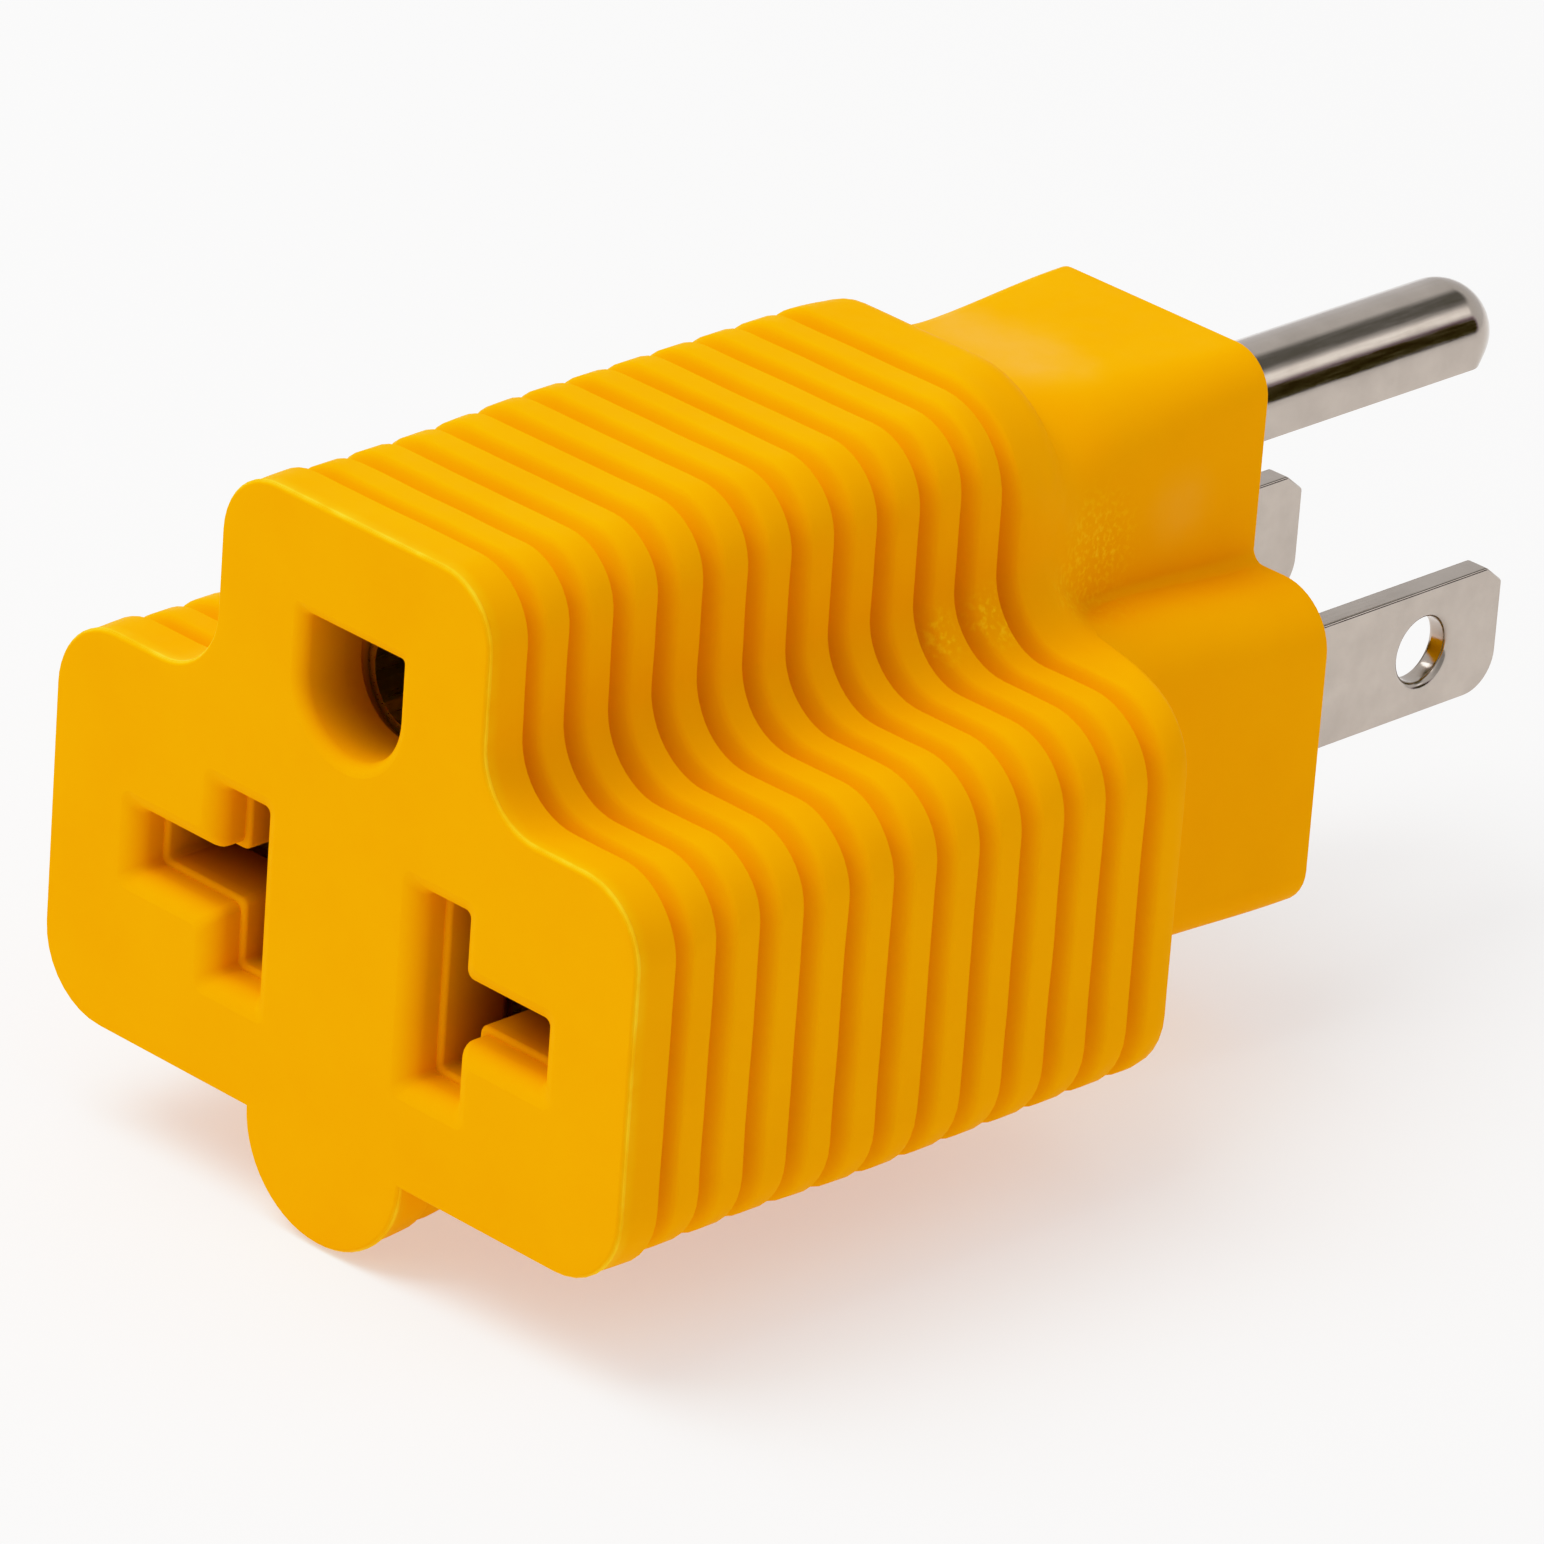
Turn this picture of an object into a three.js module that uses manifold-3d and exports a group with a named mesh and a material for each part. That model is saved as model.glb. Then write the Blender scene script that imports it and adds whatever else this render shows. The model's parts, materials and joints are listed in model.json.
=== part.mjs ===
// A one-piece grounding plug adapter: a flat-blade plug with a ground pin at one end, and a socket
// with two T-shaped slots and a ground hole at the other, inside one ribbed yellow overmould.
//
// Millimetres. The origin is the middle of the plug's flat end face, between the two blades.
// +Y runs along the blades towards their tips, +X lies across them and +Z points at the ground pin.
// The socket's face looks towards -Y.

import * as THREE from "three";
import { mergeVertices } from "three/addons/utils/BufferGeometryUtils.js";
import Module from "manifold-3d";

const wasm = await Module();
wasm.setup();

// ---------------------------------------------------------------- driving dimensions

// What the two standard interfaces fix.
const BLADE_SPACING = 12.7; // between the middles of the two blades, and of the two slots
const GROUND_HEIGHT = 11.9; // from the line of the blades up to the middle of the ground pin
const BLADE = { width: 6.3, thickness: 1.3, length: 17, hole: 3.9, holeAt: 11.9 };
const BLADE_TIP = { cut: 1.1, round: 1.9 };
const PIN = { radius: 2.4, wall: 0.9, length: 21.8, skirt: 1.2 };

// The overmould from end to end.
const SOCKET_FACE = -49.8;
const FRONT_WALL = 2.8;
const REAR_WALL = 1.7;
const RIB_PITCH = 2.6;
const GROOVES = 12;
const GROOVE_DEPTH = 0.7;
const FIRST_GROOVE = SOCKET_FACE + 2.3;
const COLLAR_END = -15.8;
const NECK_END = -10.5;

// Outlines across the body, drawn looking along +Y: a narrow upper part round the ground contact
// and a wide lower part round the blades.
const BODY_OUTLINE = {
  upper: 8.4, top: 20, lower: 18.4, shoulder: 9.4, bottom: -9.55,
  topRadius: 3.2, sideRadius: 3.6, fillet: 3.4, bottomRadius: 4,
};
const NECK_OUTLINE = {
  upper: 6.2, top: 17.1, lower: 11.1, shoulder: 8.2, bottom: -8,
  topRadius: 2.4, sideRadius: 3, fillet: 1.4, bottomRadius: 2,
};
const NOSE_OUTLINE = {
  upper: 6.75, top: 17.5, lower: 11.7, shoulder: 7.7, bottom: -8,
  topRadius: 2.2, sideRadius: 3, fillet: 1, bottomRadius: 2,
};
const KEEL = { radius: 4.95, height: -9.45, taper: 0.06, end: -17 };

// The socket's openings in the front wall.
const SLOT = { width: 4.15, height: 10.2, legEnd: 13.6, legHeight: 3.85 };
const GROUND_HOLE = { radius: 3.4, flatTop: 14.9 };
const LEDGE = 0.35; // how far the insert's openings stand inside the overmould's

// The inner mouldings.
const GAP = 0.3;
const INSERT_OUTLINE = {
  upper: 5.9, top: 16.9, lower: 15.4, shoulder: 6.9, bottom: -7.2,
  topRadius: 1.6, sideRadius: 2, fillet: 1, bottomRadius: 2,
};
const BRIDGE_OUTLINE = {
  upper: 4.4, top: 15.6, lower: 9.6, shoulder: 5.4, bottom: -5.2,
  topRadius: 1.4, sideRadius: 1.4, fillet: 0.8, bottomRadius: 1.4,
};
const COVER_THICKNESS = 2.3;
const INSERT_END = -22;
const POCKET_END = -24.8;
const POCKET_SLACK = 0.4;
const GROUND_POCKET = { width: 5.2, floor: 6.4 };
const GROUND_CHANNEL = { width: 5.8, floor: 7.2, top: 15.6 };
const BRIDGE = { from: -13, to: -REAR_WALL - GAP };

// The contacts, links and rivets.
const LEAF = 0.5;
const STRAP = 0.8;
const STRAP_WIDTH = 4;
const UPRIGHT_CLIP_HEIGHT = 8.6;
const LEVEL_CLIP = { from: 9.5, to: 13.3 };
const SLEEVE = { radius: 2.9, wall: 0.45, drop: 0.25, from: SOCKET_FACE + 3.9, to: -33 };
const RIVET = { radius: 0.95, head: 1.5, headHeight: 0.5 };
const RIVET_HOLE = RIVET.radius + 0.2;
const RIVET_LAP = 2.4; // metal left past the middle of a rivet's hole

// ---------------------------------------------------------------- places that follow from them

const BLADE_X = BLADE_SPACING / 2;
const PAST = 1; // how far a cutting shape runs on past the face that it opens
const COVER_FROM = SOCKET_FACE + FRONT_WALL + GAP;
const COVER_TO = COVER_FROM + COVER_THICKNESS;
const INSERT_FROM = COVER_TO + GAP;
const CLIP_WEB = -28.5; // the middle of the upright clip's web
const TAB_WEB = CLIP_WEB + LEAF + GAP;
const FLANGE = TAB_WEB + LEAF / 2 + GAP + STRAP / 2;
const BLADE_ROOT = -20;
const BLADE_RIVET = -16.6;
const STRAP_X = BLADE_X + BLADE.thickness / 2 + GAP + STRAP / 2;
const STRAP_CORNER = BLADE_X + RIVET.head + STRAP / 2 + 0.65; // wide of the contact rivet's head
const TAB_EDGE = BLADE_X - 1.7; // of the metal under the contact rivet, towards the middle
const SLEEVE_HEIGHT = GROUND_HEIGHT - SLEEVE.drop;
const SLEEVE_TAB = SLEEVE_HEIGHT - SLEEVE.radius + SLEEVE.wall / 2;
const SLEEVE_RIVET = -29.2;
const PIN_TAIL = { from: -20, to: -11, height: GROUND_HEIGHT + 1.6, width: 3.2, rivet: -17 };

// ---------------------------------------------------------------- materials

function finish(color, roughness, metalness) {
  return new THREE.MeshStandardMaterial({ color, roughness, metalness });
}
const jacketFinish = finish(0xf2a800, 0.5, 0);
const insertFinish = finish(0xe0940a, 0.45, 0);
const bladeFinish = finish(0xbeb2a5, 0.28, 1);
const contactFinish = finish(0xb08d4a, 0.35, 1);
const linkFinish = finish(0xb87348, 0.35, 1);
const rivetFinish = finish(0xc9a45c, 0.4, 1);

// ---------------------------------------------------------------- solids

function solid(geometry) {
  const bare = geometry.clone();
  bare.deleteAttribute("normal");
  bare.deleteAttribute("uv");
  const merged = mergeVertices(bare, 1e-4);
  return new wasm.Manifold(
    new wasm.Mesh({
      numProp: 3,
      vertProperties: merged.attributes.position.array,
      triVerts: new Uint32Array(merged.index.array),
    }),
  );
}

function namedMesh(name, shape, material) {
  const { vertProperties, triVerts } = shape.getMesh();
  const geometry = new THREE.BufferGeometry();
  geometry.setAttribute("position", new THREE.BufferAttribute(vertProperties, 3));
  geometry.setIndex(new THREE.BufferAttribute(triVerts, 1));
  geometry.computeVertexNormals();
  const mesh = new THREE.Mesh(geometry, material);
  mesh.name = name;
  return mesh;
}

function cut(shape, ...tools) {
  return tools.reduce((rest, tool) => rest.subtract(tool), shape);
}

function joined(...shapes) {
  return shapes.reduce((all, shape) => all.add(shape));
}

// Extrusions of an outline drawn in the plane square to each axis.
function plate(outline, depth, curveSegments) {
  return new THREE.ExtrudeGeometry(outline, { depth, bevelEnabled: false, curveSegments });
}

function alongX(outline, from, to, curveSegments = 6) {
  const turn = new THREE.Matrix4().makeBasis(
    new THREE.Vector3(0, 1, 0),
    new THREE.Vector3(0, 0, 1),
    new THREE.Vector3(1, 0, 0),
  );
  return solid(plate(outline, to - from, curveSegments).applyMatrix4(turn).translate(from, 0, 0));
}

function alongY(outline, from, to, curveSegments = 6) {
  return solid(plate(outline, to - from, curveSegments).rotateX(Math.PI / 2).translate(0, to, 0));
}

function alongZ(outline, from, to, curveSegments = 6) {
  return solid(plate(outline, to - from, curveSegments).translate(0, 0, from));
}

// The stretch from one place to another, lower one first.
function span(a, b) {
  return a < b ? [a, b] : [b, a];
}

function around(middle, half) {
  return [middle - half, middle + half];
}

function block([x0, x1], [y0, y1], [z0, z1]) {
  const box = new THREE.BoxGeometry(x1 - x0, y1 - y0, z1 - z0);
  return solid(box.translate((x0 + x1) / 2, (y0 + y1) / 2, (z0 + z1) / 2));
}

// A round bar between two places along one axis.
function bar(radius, axis, [x, y, z], from, to, sides = 16) {
  const round = new THREE.CylinderGeometry(radius, radius, to - from, sides);
  const middle = (from + to) / 2;
  if (axis === "x") round.rotateZ(Math.PI / 2).translate(middle, y, z);
  if (axis === "y") round.translate(x, middle, z);
  if (axis === "z") round.rotateX(Math.PI / 2).translate(x, y, middle);
  return solid(round);
}

// ---------------------------------------------------------------- outlines

// The stepped outline: a narrow upper part on a wide lower part, with a fillet in each step.
function houseOutline(size) {
  const { upper, top, lower, shoulder, bottom } = size;
  const { topRadius, sideRadius, fillet, bottomRadius } = size;
  const quarter = Math.PI / 2;
  const outline = new THREE.Shape();
  outline.absarc(lower - bottomRadius, bottom + bottomRadius, bottomRadius, -quarter, 0);
  outline.absarc(lower - sideRadius, shoulder - sideRadius, sideRadius, 0, quarter);
  outline.absarc(upper + fillet, shoulder + fillet, fillet, -quarter, -2 * quarter, true);
  outline.absarc(upper - topRadius, top - topRadius, topRadius, 0, quarter);
  outline.absarc(topRadius - upper, top - topRadius, topRadius, quarter, 2 * quarter);
  outline.absarc(-upper - fillet, shoulder + fillet, fillet, 0, -quarter, true);
  outline.absarc(sideRadius - lower, shoulder - sideRadius, sideRadius, quarter, 2 * quarter);
  outline.absarc(bottomRadius - lower, bottom + bottomRadius, bottomRadius, 2 * quarter, 3 * quarter);
  outline.closePath();
  return outline;
}

// The same outline moved in by a distance, or out where it is negative.
function inset(size, distance) {
  return {
    upper: size.upper - distance,
    top: size.top - distance,
    lower: size.lower - distance,
    shoulder: size.shoulder - distance,
    bottom: size.bottom + distance,
    topRadius: size.topRadius - distance,
    sideRadius: size.sideRadius - distance,
    fillet: size.fillet + distance,
    bottomRadius: size.bottomRadius - distance,
  };
}

function between(start, end, share) {
  const mix = (name) => [name, THREE.MathUtils.lerp(start[name], end[name], share)];
  return Object.fromEntries(Object.keys(start).map(mix));
}

// A T lying on its side: an upright stem at the blade's place, with a leg pointing outwards.
function slotOutline(side, margin = 0) {
  const inner = side * (BLADE_X - SLOT.width / 2 - margin);
  const outer = side * (BLADE_X + SLOT.width / 2 + margin);
  const end = side * (SLOT.legEnd + margin);
  const high = SLOT.height / 2 + margin;
  const leg = SLOT.legHeight / 2 + margin;
  return new THREE.Shape([
    new THREE.Vector2(inner, -high),
    new THREE.Vector2(outer, -high),
    new THREE.Vector2(outer, -leg),
    new THREE.Vector2(end, -leg),
    new THREE.Vector2(end, leg),
    new THREE.Vector2(outer, leg),
    new THREE.Vector2(outer, high),
    new THREE.Vector2(inner, high),
  ]);
}

// A round-bottomed hole with a flat top and square upper corners.
function groundHoleOutline(margin = 0) {
  const radius = GROUND_HOLE.radius + margin;
  const outline = new THREE.Shape();
  outline.moveTo(radius, GROUND_HOLE.flatTop + margin);
  outline.lineTo(-radius, GROUND_HOLE.flatTop + margin);
  outline.absarc(0, GROUND_HEIGHT, radius, Math.PI, 2 * Math.PI);
  outline.closePath();
  return outline;
}

// An arch on two short straight legs, as wide as the ground pin.
function pinOutline(radius, foot) {
  const outline = new THREE.Shape();
  outline.moveTo(-radius, foot);
  outline.lineTo(radius, foot);
  outline.absarc(0, GROUND_HEIGHT, radius, 0, Math.PI);
  outline.closePath();
  return outline;
}

// Sheet metal seen on edge: a line given a thickness, with mitred corners.
function sheetOutline(line, thickness) {
  const points = line.map(([a, b]) => new THREE.Vector2(a, b));
  const across = (from, to) => {
    const along = to.clone().sub(from).normalize();
    return new THREE.Vector2(-along.y, along.x);
  };
  const offset = (side) =>
    points.map((point, i) => {
      const before = across(points[Math.max(i - 1, 0)], points[Math.max(i, 1)]);
      const last = points.length - 1;
      const after = across(points[Math.min(i, last - 1)], points[Math.min(i + 1, last)]);
      const mitre = before.clone().add(after);
      mitre.multiplyScalar((side * thickness) / mitre.dot(before) / 2);
      return point.clone().add(mitre);
    });
  return new THREE.Shape([...offset(-1), ...offset(1).reverse()]);
}

// ---------------------------------------------------------------- the overmould

const CORNER_STEPS = 2;

// A closed skin through outlines that all have the same number of points.
function loft(stations) {
  const rings = stations.map(({ y, size }) =>
    houseOutline(size)
      .getPoints(CORNER_STEPS)
      .slice(0, -1)
      .map((point) => new THREE.Vector3(point.x, y, point.y)),
  );
  const count = rings[0].length;
  const flat = (ring) => ring.map((point) => new THREE.Vector2(point.x, point.z));
  const indices = [];
  for (let r = 0; r + 1 < rings.length; r++) {
    for (let i = 0; i < count; i++) {
      const a = r * count + i;
      const b = r * count + ((i + 1) % count);
      indices.push(a, b + count, b, a, a + count, b + count);
    }
  }
  const last = (rings.length - 1) * count;
  for (const face of THREE.ShapeUtils.triangulateShape(flat(rings[0]), [])) {
    indices.push(...face);
  }
  for (const [a, b, c] of THREE.ShapeUtils.triangulateShape(flat(rings.at(-1)), [])) {
    indices.push(last + a, last + c, last + b);
  }
  const geometry = new THREE.BufferGeometry().setFromPoints(rings.flat());
  geometry.setIndex(indices);
  return solid(geometry);
}

// Each rib climbs out of its groove in a long slope and ends in a short step down.
function ribStations() {
  const stations = [{ y: SOCKET_FACE, size: BODY_OUTLINE }];
  for (let groove = 0; groove < GROOVES; groove++) {
    const edge = FIRST_GROOVE + groove * RIB_PITCH;
    stations.push({ y: edge, size: BODY_OUTLINE });
    stations.push({ y: edge + 0.12 * RIB_PITCH, size: inset(BODY_OUTLINE, GROOVE_DEPTH) });
    stations.push({ y: edge + 0.6 * RIB_PITCH, size: inset(BODY_OUTLINE, 0.2 * GROOVE_DEPTH) });
  }
  return stations;
}

// Behind the collar the body draws in to the neck, fast at first, and widens again to the end face.
function neckStations() {
  const stations = [];
  for (const share of [0, 0.1, 0.3, 0.6, 1]) {
    const y = THREE.MathUtils.lerp(COLLAR_END, NECK_END, share);
    stations.push({ y, size: between(BODY_OUTLINE, NECK_OUTLINE, 1 - (1 - share) ** 3) });
  }
  stations.push({ y: 0, size: NOSE_OUTLINE });
  return stations;
}

// A rounded keel under the lower part, deepest at the socket's face.
function keel() {
  const length = KEEL.end - SOCKET_FACE;
  const tip = KEEL.radius - KEEL.taper * length;
  const cone = new THREE.CylinderGeometry(tip, KEEL.radius, length, 24);
  cone.translate(0, length / 2, 0);
  const lean = new THREE.Matrix4().makeShear(0, 0, 0, KEEL.taper, 0, 0);
  return solid(cone.applyMatrix4(lean).translate(0, SOCKET_FACE, KEEL.height));
}

function insertChamber() {
  return alongY(houseOutline(inset(INSERT_OUTLINE, -GAP)), COVER_FROM - GAP, INSERT_END + GAP, 2);
}

function bridgeChamber() {
  const room = houseOutline(inset(BRIDGE_OUTLINE, -GAP));
  return alongY(room, BRIDGE.from - GAP, BRIDGE.to + GAP, 2);
}

// The ways between the two chambers for the blades' roots, their straps and the ground strap.
function linkChannels() {
  const depth = [INSERT_END - GAP, BRIDGE.from + GAP];
  const inner = BLADE_X - BLADE.thickness / 2 - RIVET.headHeight - 2 * GAP;
  const outer = STRAP_CORNER + STRAP / 2 + GAP;
  const height = around(0, BLADE.width / 2 + GAP);
  return joined(
    block(span(-inner, -outer), depth, height),
    block(span(inner, outer), depth, height),
    block(around(0, GROUND_CHANNEL.width / 2), depth, [GROUND_CHANNEL.floor, GROUND_CHANNEL.top]),
  );
}

function bladeOutline(side, margin) {
  const half = BLADE.thickness / 2 + margin;
  const high = BLADE.width / 2 + margin;
  return new THREE.Shape([
    new THREE.Vector2(side * BLADE_X - half, -high),
    new THREE.Vector2(side * BLADE_X + half, -high),
    new THREE.Vector2(side * BLADE_X + half, high),
    new THREE.Vector2(side * BLADE_X - half, high),
  ]);
}

function bladePassage(side, from, to) {
  return alongY(bladeOutline(side, GAP), from, to);
}

function pinPassage(from, to) {
  return alongY(pinOutline(PIN.radius + GAP, GROUND_HEIGHT - PIN.skirt - GAP), from, to);
}

function overmould() {
  const body = joined(loft([...ribStations(), ...neckStations()]), keel());
  const frontWall = [SOCKET_FACE - PAST, COVER_FROM];
  const rearWall = [BRIDGE.to, PAST];
  const shape = cut(
    body,
    insertChamber(),
    linkChannels(),
    bridgeChamber(),
    alongY(slotOutline(-1), ...frontWall),
    alongY(slotOutline(1), ...frontWall),
    alongY(groundHoleOutline(), ...frontWall),
    bladePassage(-1, ...rearWall),
    bladePassage(1, ...rearWall),
    pinPassage(...rearWall),
  );
  return namedMesh("overmould_jacket", shape, jacketFinish);
}

// ---------------------------------------------------------------- the inner mouldings

// The front plate of the insert, whose openings show as a ledge inside the overmould's.
function socketCover() {
  const through = [COVER_FROM - PAST, COVER_TO + PAST];
  const sleeveMiddle = [0, 0, SLEEVE_HEIGHT];
  const shape = cut(
    alongY(houseOutline(INSERT_OUTLINE), COVER_FROM, COVER_TO, 2),
    alongY(slotOutline(-1, -LEDGE), ...through),
    alongY(slotOutline(1, -LEDGE), ...through),
    alongY(groundHoleOutline(-LEDGE), ...through),
    bar(SLEEVE.radius + GAP, "y", sleeveMiddle, SLEEVE.from - GAP, COVER_TO + PAST, 24),
  );
  return namedMesh("socket_cover", shape, insertFinish);
}

// The block that carries the contacts, each in a pocket open to the front.
function contactCarrier() {
  const pocket = [INSERT_FROM - PAST, POCKET_END];
  const through = [INSERT_FROM - PAST, INSERT_END + PAST];
  const sleeveMiddle = [0, 0, SLEEVE_HEIGHT];
  const slit = (side) =>
    block(
      span(side * (BLADE_X - 1), side * (STRAP_CORNER + STRAP / 2 + GAP)),
      [POCKET_END - PAST, INSERT_END + PAST],
      around(0, BLADE.width / 2),
    );
  const shape = cut(
    alongY(houseOutline(INSERT_OUTLINE), INSERT_FROM, INSERT_END, 2),
    alongY(slotOutline(-1, POCKET_SLACK), ...pocket),
    alongY(slotOutline(1, POCKET_SLACK), ...pocket),
    bar(SLEEVE.radius + POCKET_SLACK, "y", sleeveMiddle, ...pocket, 24),
    block(around(0, GROUND_POCKET.width / 2), through, [GROUND_POCKET.floor, SLEEVE_HEIGHT]),
    slit(-1),
    slit(1),
  );
  return namedMesh("contact_carrier", shape, insertFinish);
}

// The block in the nose that holds the blades and the pin apart.
function bladeBridge() {
  const through = [BRIDGE.from - PAST, BRIDGE.to + PAST];
  const shape = cut(
    alongY(houseOutline(BRIDGE_OUTLINE), BRIDGE.from, BRIDGE.to, 2),
    bladePassage(-1, ...through),
    bladePassage(1, ...through),
    pinPassage(...through),
  );
  return namedMesh("blade_bridge", shape, insertFinish);
}

// ---------------------------------------------------------------- blades and ground pin

// A flat blade with a hole near its tip, a cut upper corner and a rounded lower one.
function blade(name, side) {
  const high = BLADE.width / 2;
  const { cut: cornerCut, round } = BLADE_TIP;
  const outline = new THREE.Shape();
  outline.moveTo(BLADE_ROOT, -high);
  outline.lineTo(BLADE.length - round, -high);
  outline.absarc(BLADE.length - round, round - high, round, -Math.PI / 2, 0);
  outline.lineTo(BLADE.length, high - 0.8 * cornerCut);
  outline.lineTo(BLADE.length - cornerCut, high);
  outline.lineTo(BLADE_ROOT, high);
  outline.closePath();
  const sides = around(side * BLADE_X, BLADE.thickness / 2);
  const through = around(side * BLADE_X, BLADE.thickness / 2 + PAST);
  const shape = cut(
    alongX(outline, ...sides, 8),
    bar(BLADE.hole / 2, "x", [0, BLADE.holeAt, 0], ...through, 24),
    bar(RIVET_HOLE, "x", [0, BLADE_RIVET, 0], ...through),
  );
  return namedMesh(name, shape, bladeFinish);
}

// A round bar with a domed tip, as a turned solid along +Y.
function domedBar(radius, from, to) {
  const profile = [new THREE.Vector2(0, from), new THREE.Vector2(radius, from)];
  const steps = 5;
  for (let i = 0; i <= steps; i++) {
    const angle = (i / steps) * (Math.PI / 2);
    const across = i === steps ? 0 : radius * Math.cos(angle);
    profile.push(new THREE.Vector2(across, to - radius + radius * Math.sin(angle)));
  }
  return solid(new THREE.LatheGeometry(profile, 24).translate(0, 0, GROUND_HEIGHT));
}

// Folded sheet: an arch with two short skirts, closed by a dome at its tip and open underneath.
function groundPin() {
  const root = BRIDGE.from + 1;
  const reach = 2 * PIN.radius; // enough to clear the dome's sides
  const foot = GROUND_HEIGHT - PIN.skirt;
  const inner = PIN.radius - PIN.wall;
  const straight = PIN.length - PIN.radius;
  const arch = alongY(pinOutline(PIN.radius, foot), root, straight, 12);
  const hollow = joined(
    alongY(pinOutline(inner, foot - PAST), root - PAST, straight, 8),
    domedBar(inner, 0, PIN.length - PIN.wall),
  );
  const tip = cut(
    domedBar(PIN.radius, straight - 1, PIN.length),
    block(around(0, reach), [0, PIN.length + reach], [foot - reach, foot]),
  );
  const tail = block(
    around(0, PIN_TAIL.width / 2),
    [PIN_TAIL.from, PIN_TAIL.to],
    around(PIN_TAIL.height, STRAP / 2),
  );
  const rivetHole = bar(RIVET_HOLE, "z", [0, PIN_TAIL.rivet, 0], ...around(PIN_TAIL.height, PAST));
  const shape = cut(joined(cut(joined(arch, tip), hollow), tail), rivetHole);
  return namedMesh("ground_pin", shape, bladeFinish);
}

// ---------------------------------------------------------------- socket contacts

const MOUTH = INSERT_FROM + 0.6;

// One side of a spring clip, from its flared mouth over the pinch to the web: [depth, distance].
function leafLine(web) {
  return [
    [MOUTH, 1.6],
    [MOUTH + 2.6, 0.85],
    [MOUTH + 6, 1.2],
    [MOUTH + 9, 1.95],
    [web, 1.95],
  ];
}

function clipLine(web) {
  const leaf = leafLine(web);
  const mirrored = leaf.map(([depth, distance]) => [depth, -distance]).reverse();
  return [...leaf, ...mirrored];
}

// Grips an upright blade. Its outer leaf is notched where a level blade passes.
function uprightClip(name, side) {
  const line = clipLine(CLIP_WEB).map(([depth, distance]) => [side * BLADE_X + distance, depth]);
  const notch = span(side * BLADE_X, side * (BLADE_X + 3));
  const shape = cut(
    alongZ(sheetOutline(line, LEAF), ...around(0, UPRIGHT_CLIP_HEIGHT / 2)),
    block(notch, [MOUTH - PAST, CLIP_WEB - 2.5], around(0, SLOT.legHeight / 2 - GAP)),
    bar(RIVET_HOLE, "y", [side * BLADE_X, 0, 0], ...around(CLIP_WEB, PAST)),
  );
  return namedMesh(name, shape, contactFinish);
}

// Grips a level blade in the slot's leg. A tab on its web reaches back under the same rivet.
function levelClip(name, side) {
  const reach = span(side * LEVEL_CLIP.from, side * LEVEL_CLIP.to);
  const tab = span(side * TAB_EDGE, side * LEVEL_CLIP.to);
  const shape = cut(
    joined(
      alongX(sheetOutline(clipLine(TAB_WEB), LEAF), ...reach),
      block(tab, around(TAB_WEB, LEAF / 2), around(0, STRAP_WIDTH / 2)),
    ),
    bar(RIVET_HOLE, "y", [side * BLADE_X, 0, 0], ...around(TAB_WEB, PAST)),
  );
  return namedMesh(name, shape, contactFinish);
}

// A rolled sleeve for the ground pin, open along its top, with a tab at the back.
function groundSleeve() {
  const outer = SLEEVE.radius;
  const inner = outer - SLEEVE.wall;
  const halfOpening = 0.35;
  const start = Math.PI / 2 + halfOpening;
  const end = Math.PI / 2 - halfOpening + 2 * Math.PI;
  const outline = new THREE.Shape();
  outline.absarc(0, SLEEVE_HEIGHT, outer, start, end);
  outline.absarc(0, SLEEVE_HEIGHT, inner, end, start, true);
  outline.closePath();
  const tab = block(
    around(0, STRAP_WIDTH / 2),
    [SLEEVE.to - 1, SLEEVE_RIVET + RIVET_LAP],
    around(SLEEVE_TAB, SLEEVE.wall / 2),
  );
  const rivetHole = bar(RIVET_HOLE, "z", [0, SLEEVE_RIVET, 0], ...around(SLEEVE_TAB, PAST));
  const shape = cut(joined(alongY(outline, SLEEVE.from, SLEEVE.to, 14), tab), rivetHole);
  return namedMesh("ground_sleeve", shape, contactFinish);
}

// ---------------------------------------------------------------- links

// An angle of flat strap from a slot's two clips to the root of its blade.
function bladeLink(name, side) {
  const line = [
    [side * TAB_EDGE, FLANGE],
    [side * STRAP_CORNER, FLANGE],
    [side * STRAP_CORNER, INSERT_END],
    [side * STRAP_X, INSERT_END + 2 * STRAP],
    [side * STRAP_X, BLADE_RIVET + RIVET_LAP],
  ];
  const shape = cut(
    alongZ(sheetOutline(line, STRAP), ...around(0, STRAP_WIDTH / 2)),
    bar(RIVET_HOLE, "y", [side * BLADE_X, 0, 0], ...around(FLANGE, PAST)),
    bar(RIVET_HOLE, "x", [0, BLADE_RIVET, 0], ...around(side * STRAP_X, PAST)),
  );
  return namedMesh(name, shape, linkFinish);
}

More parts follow.
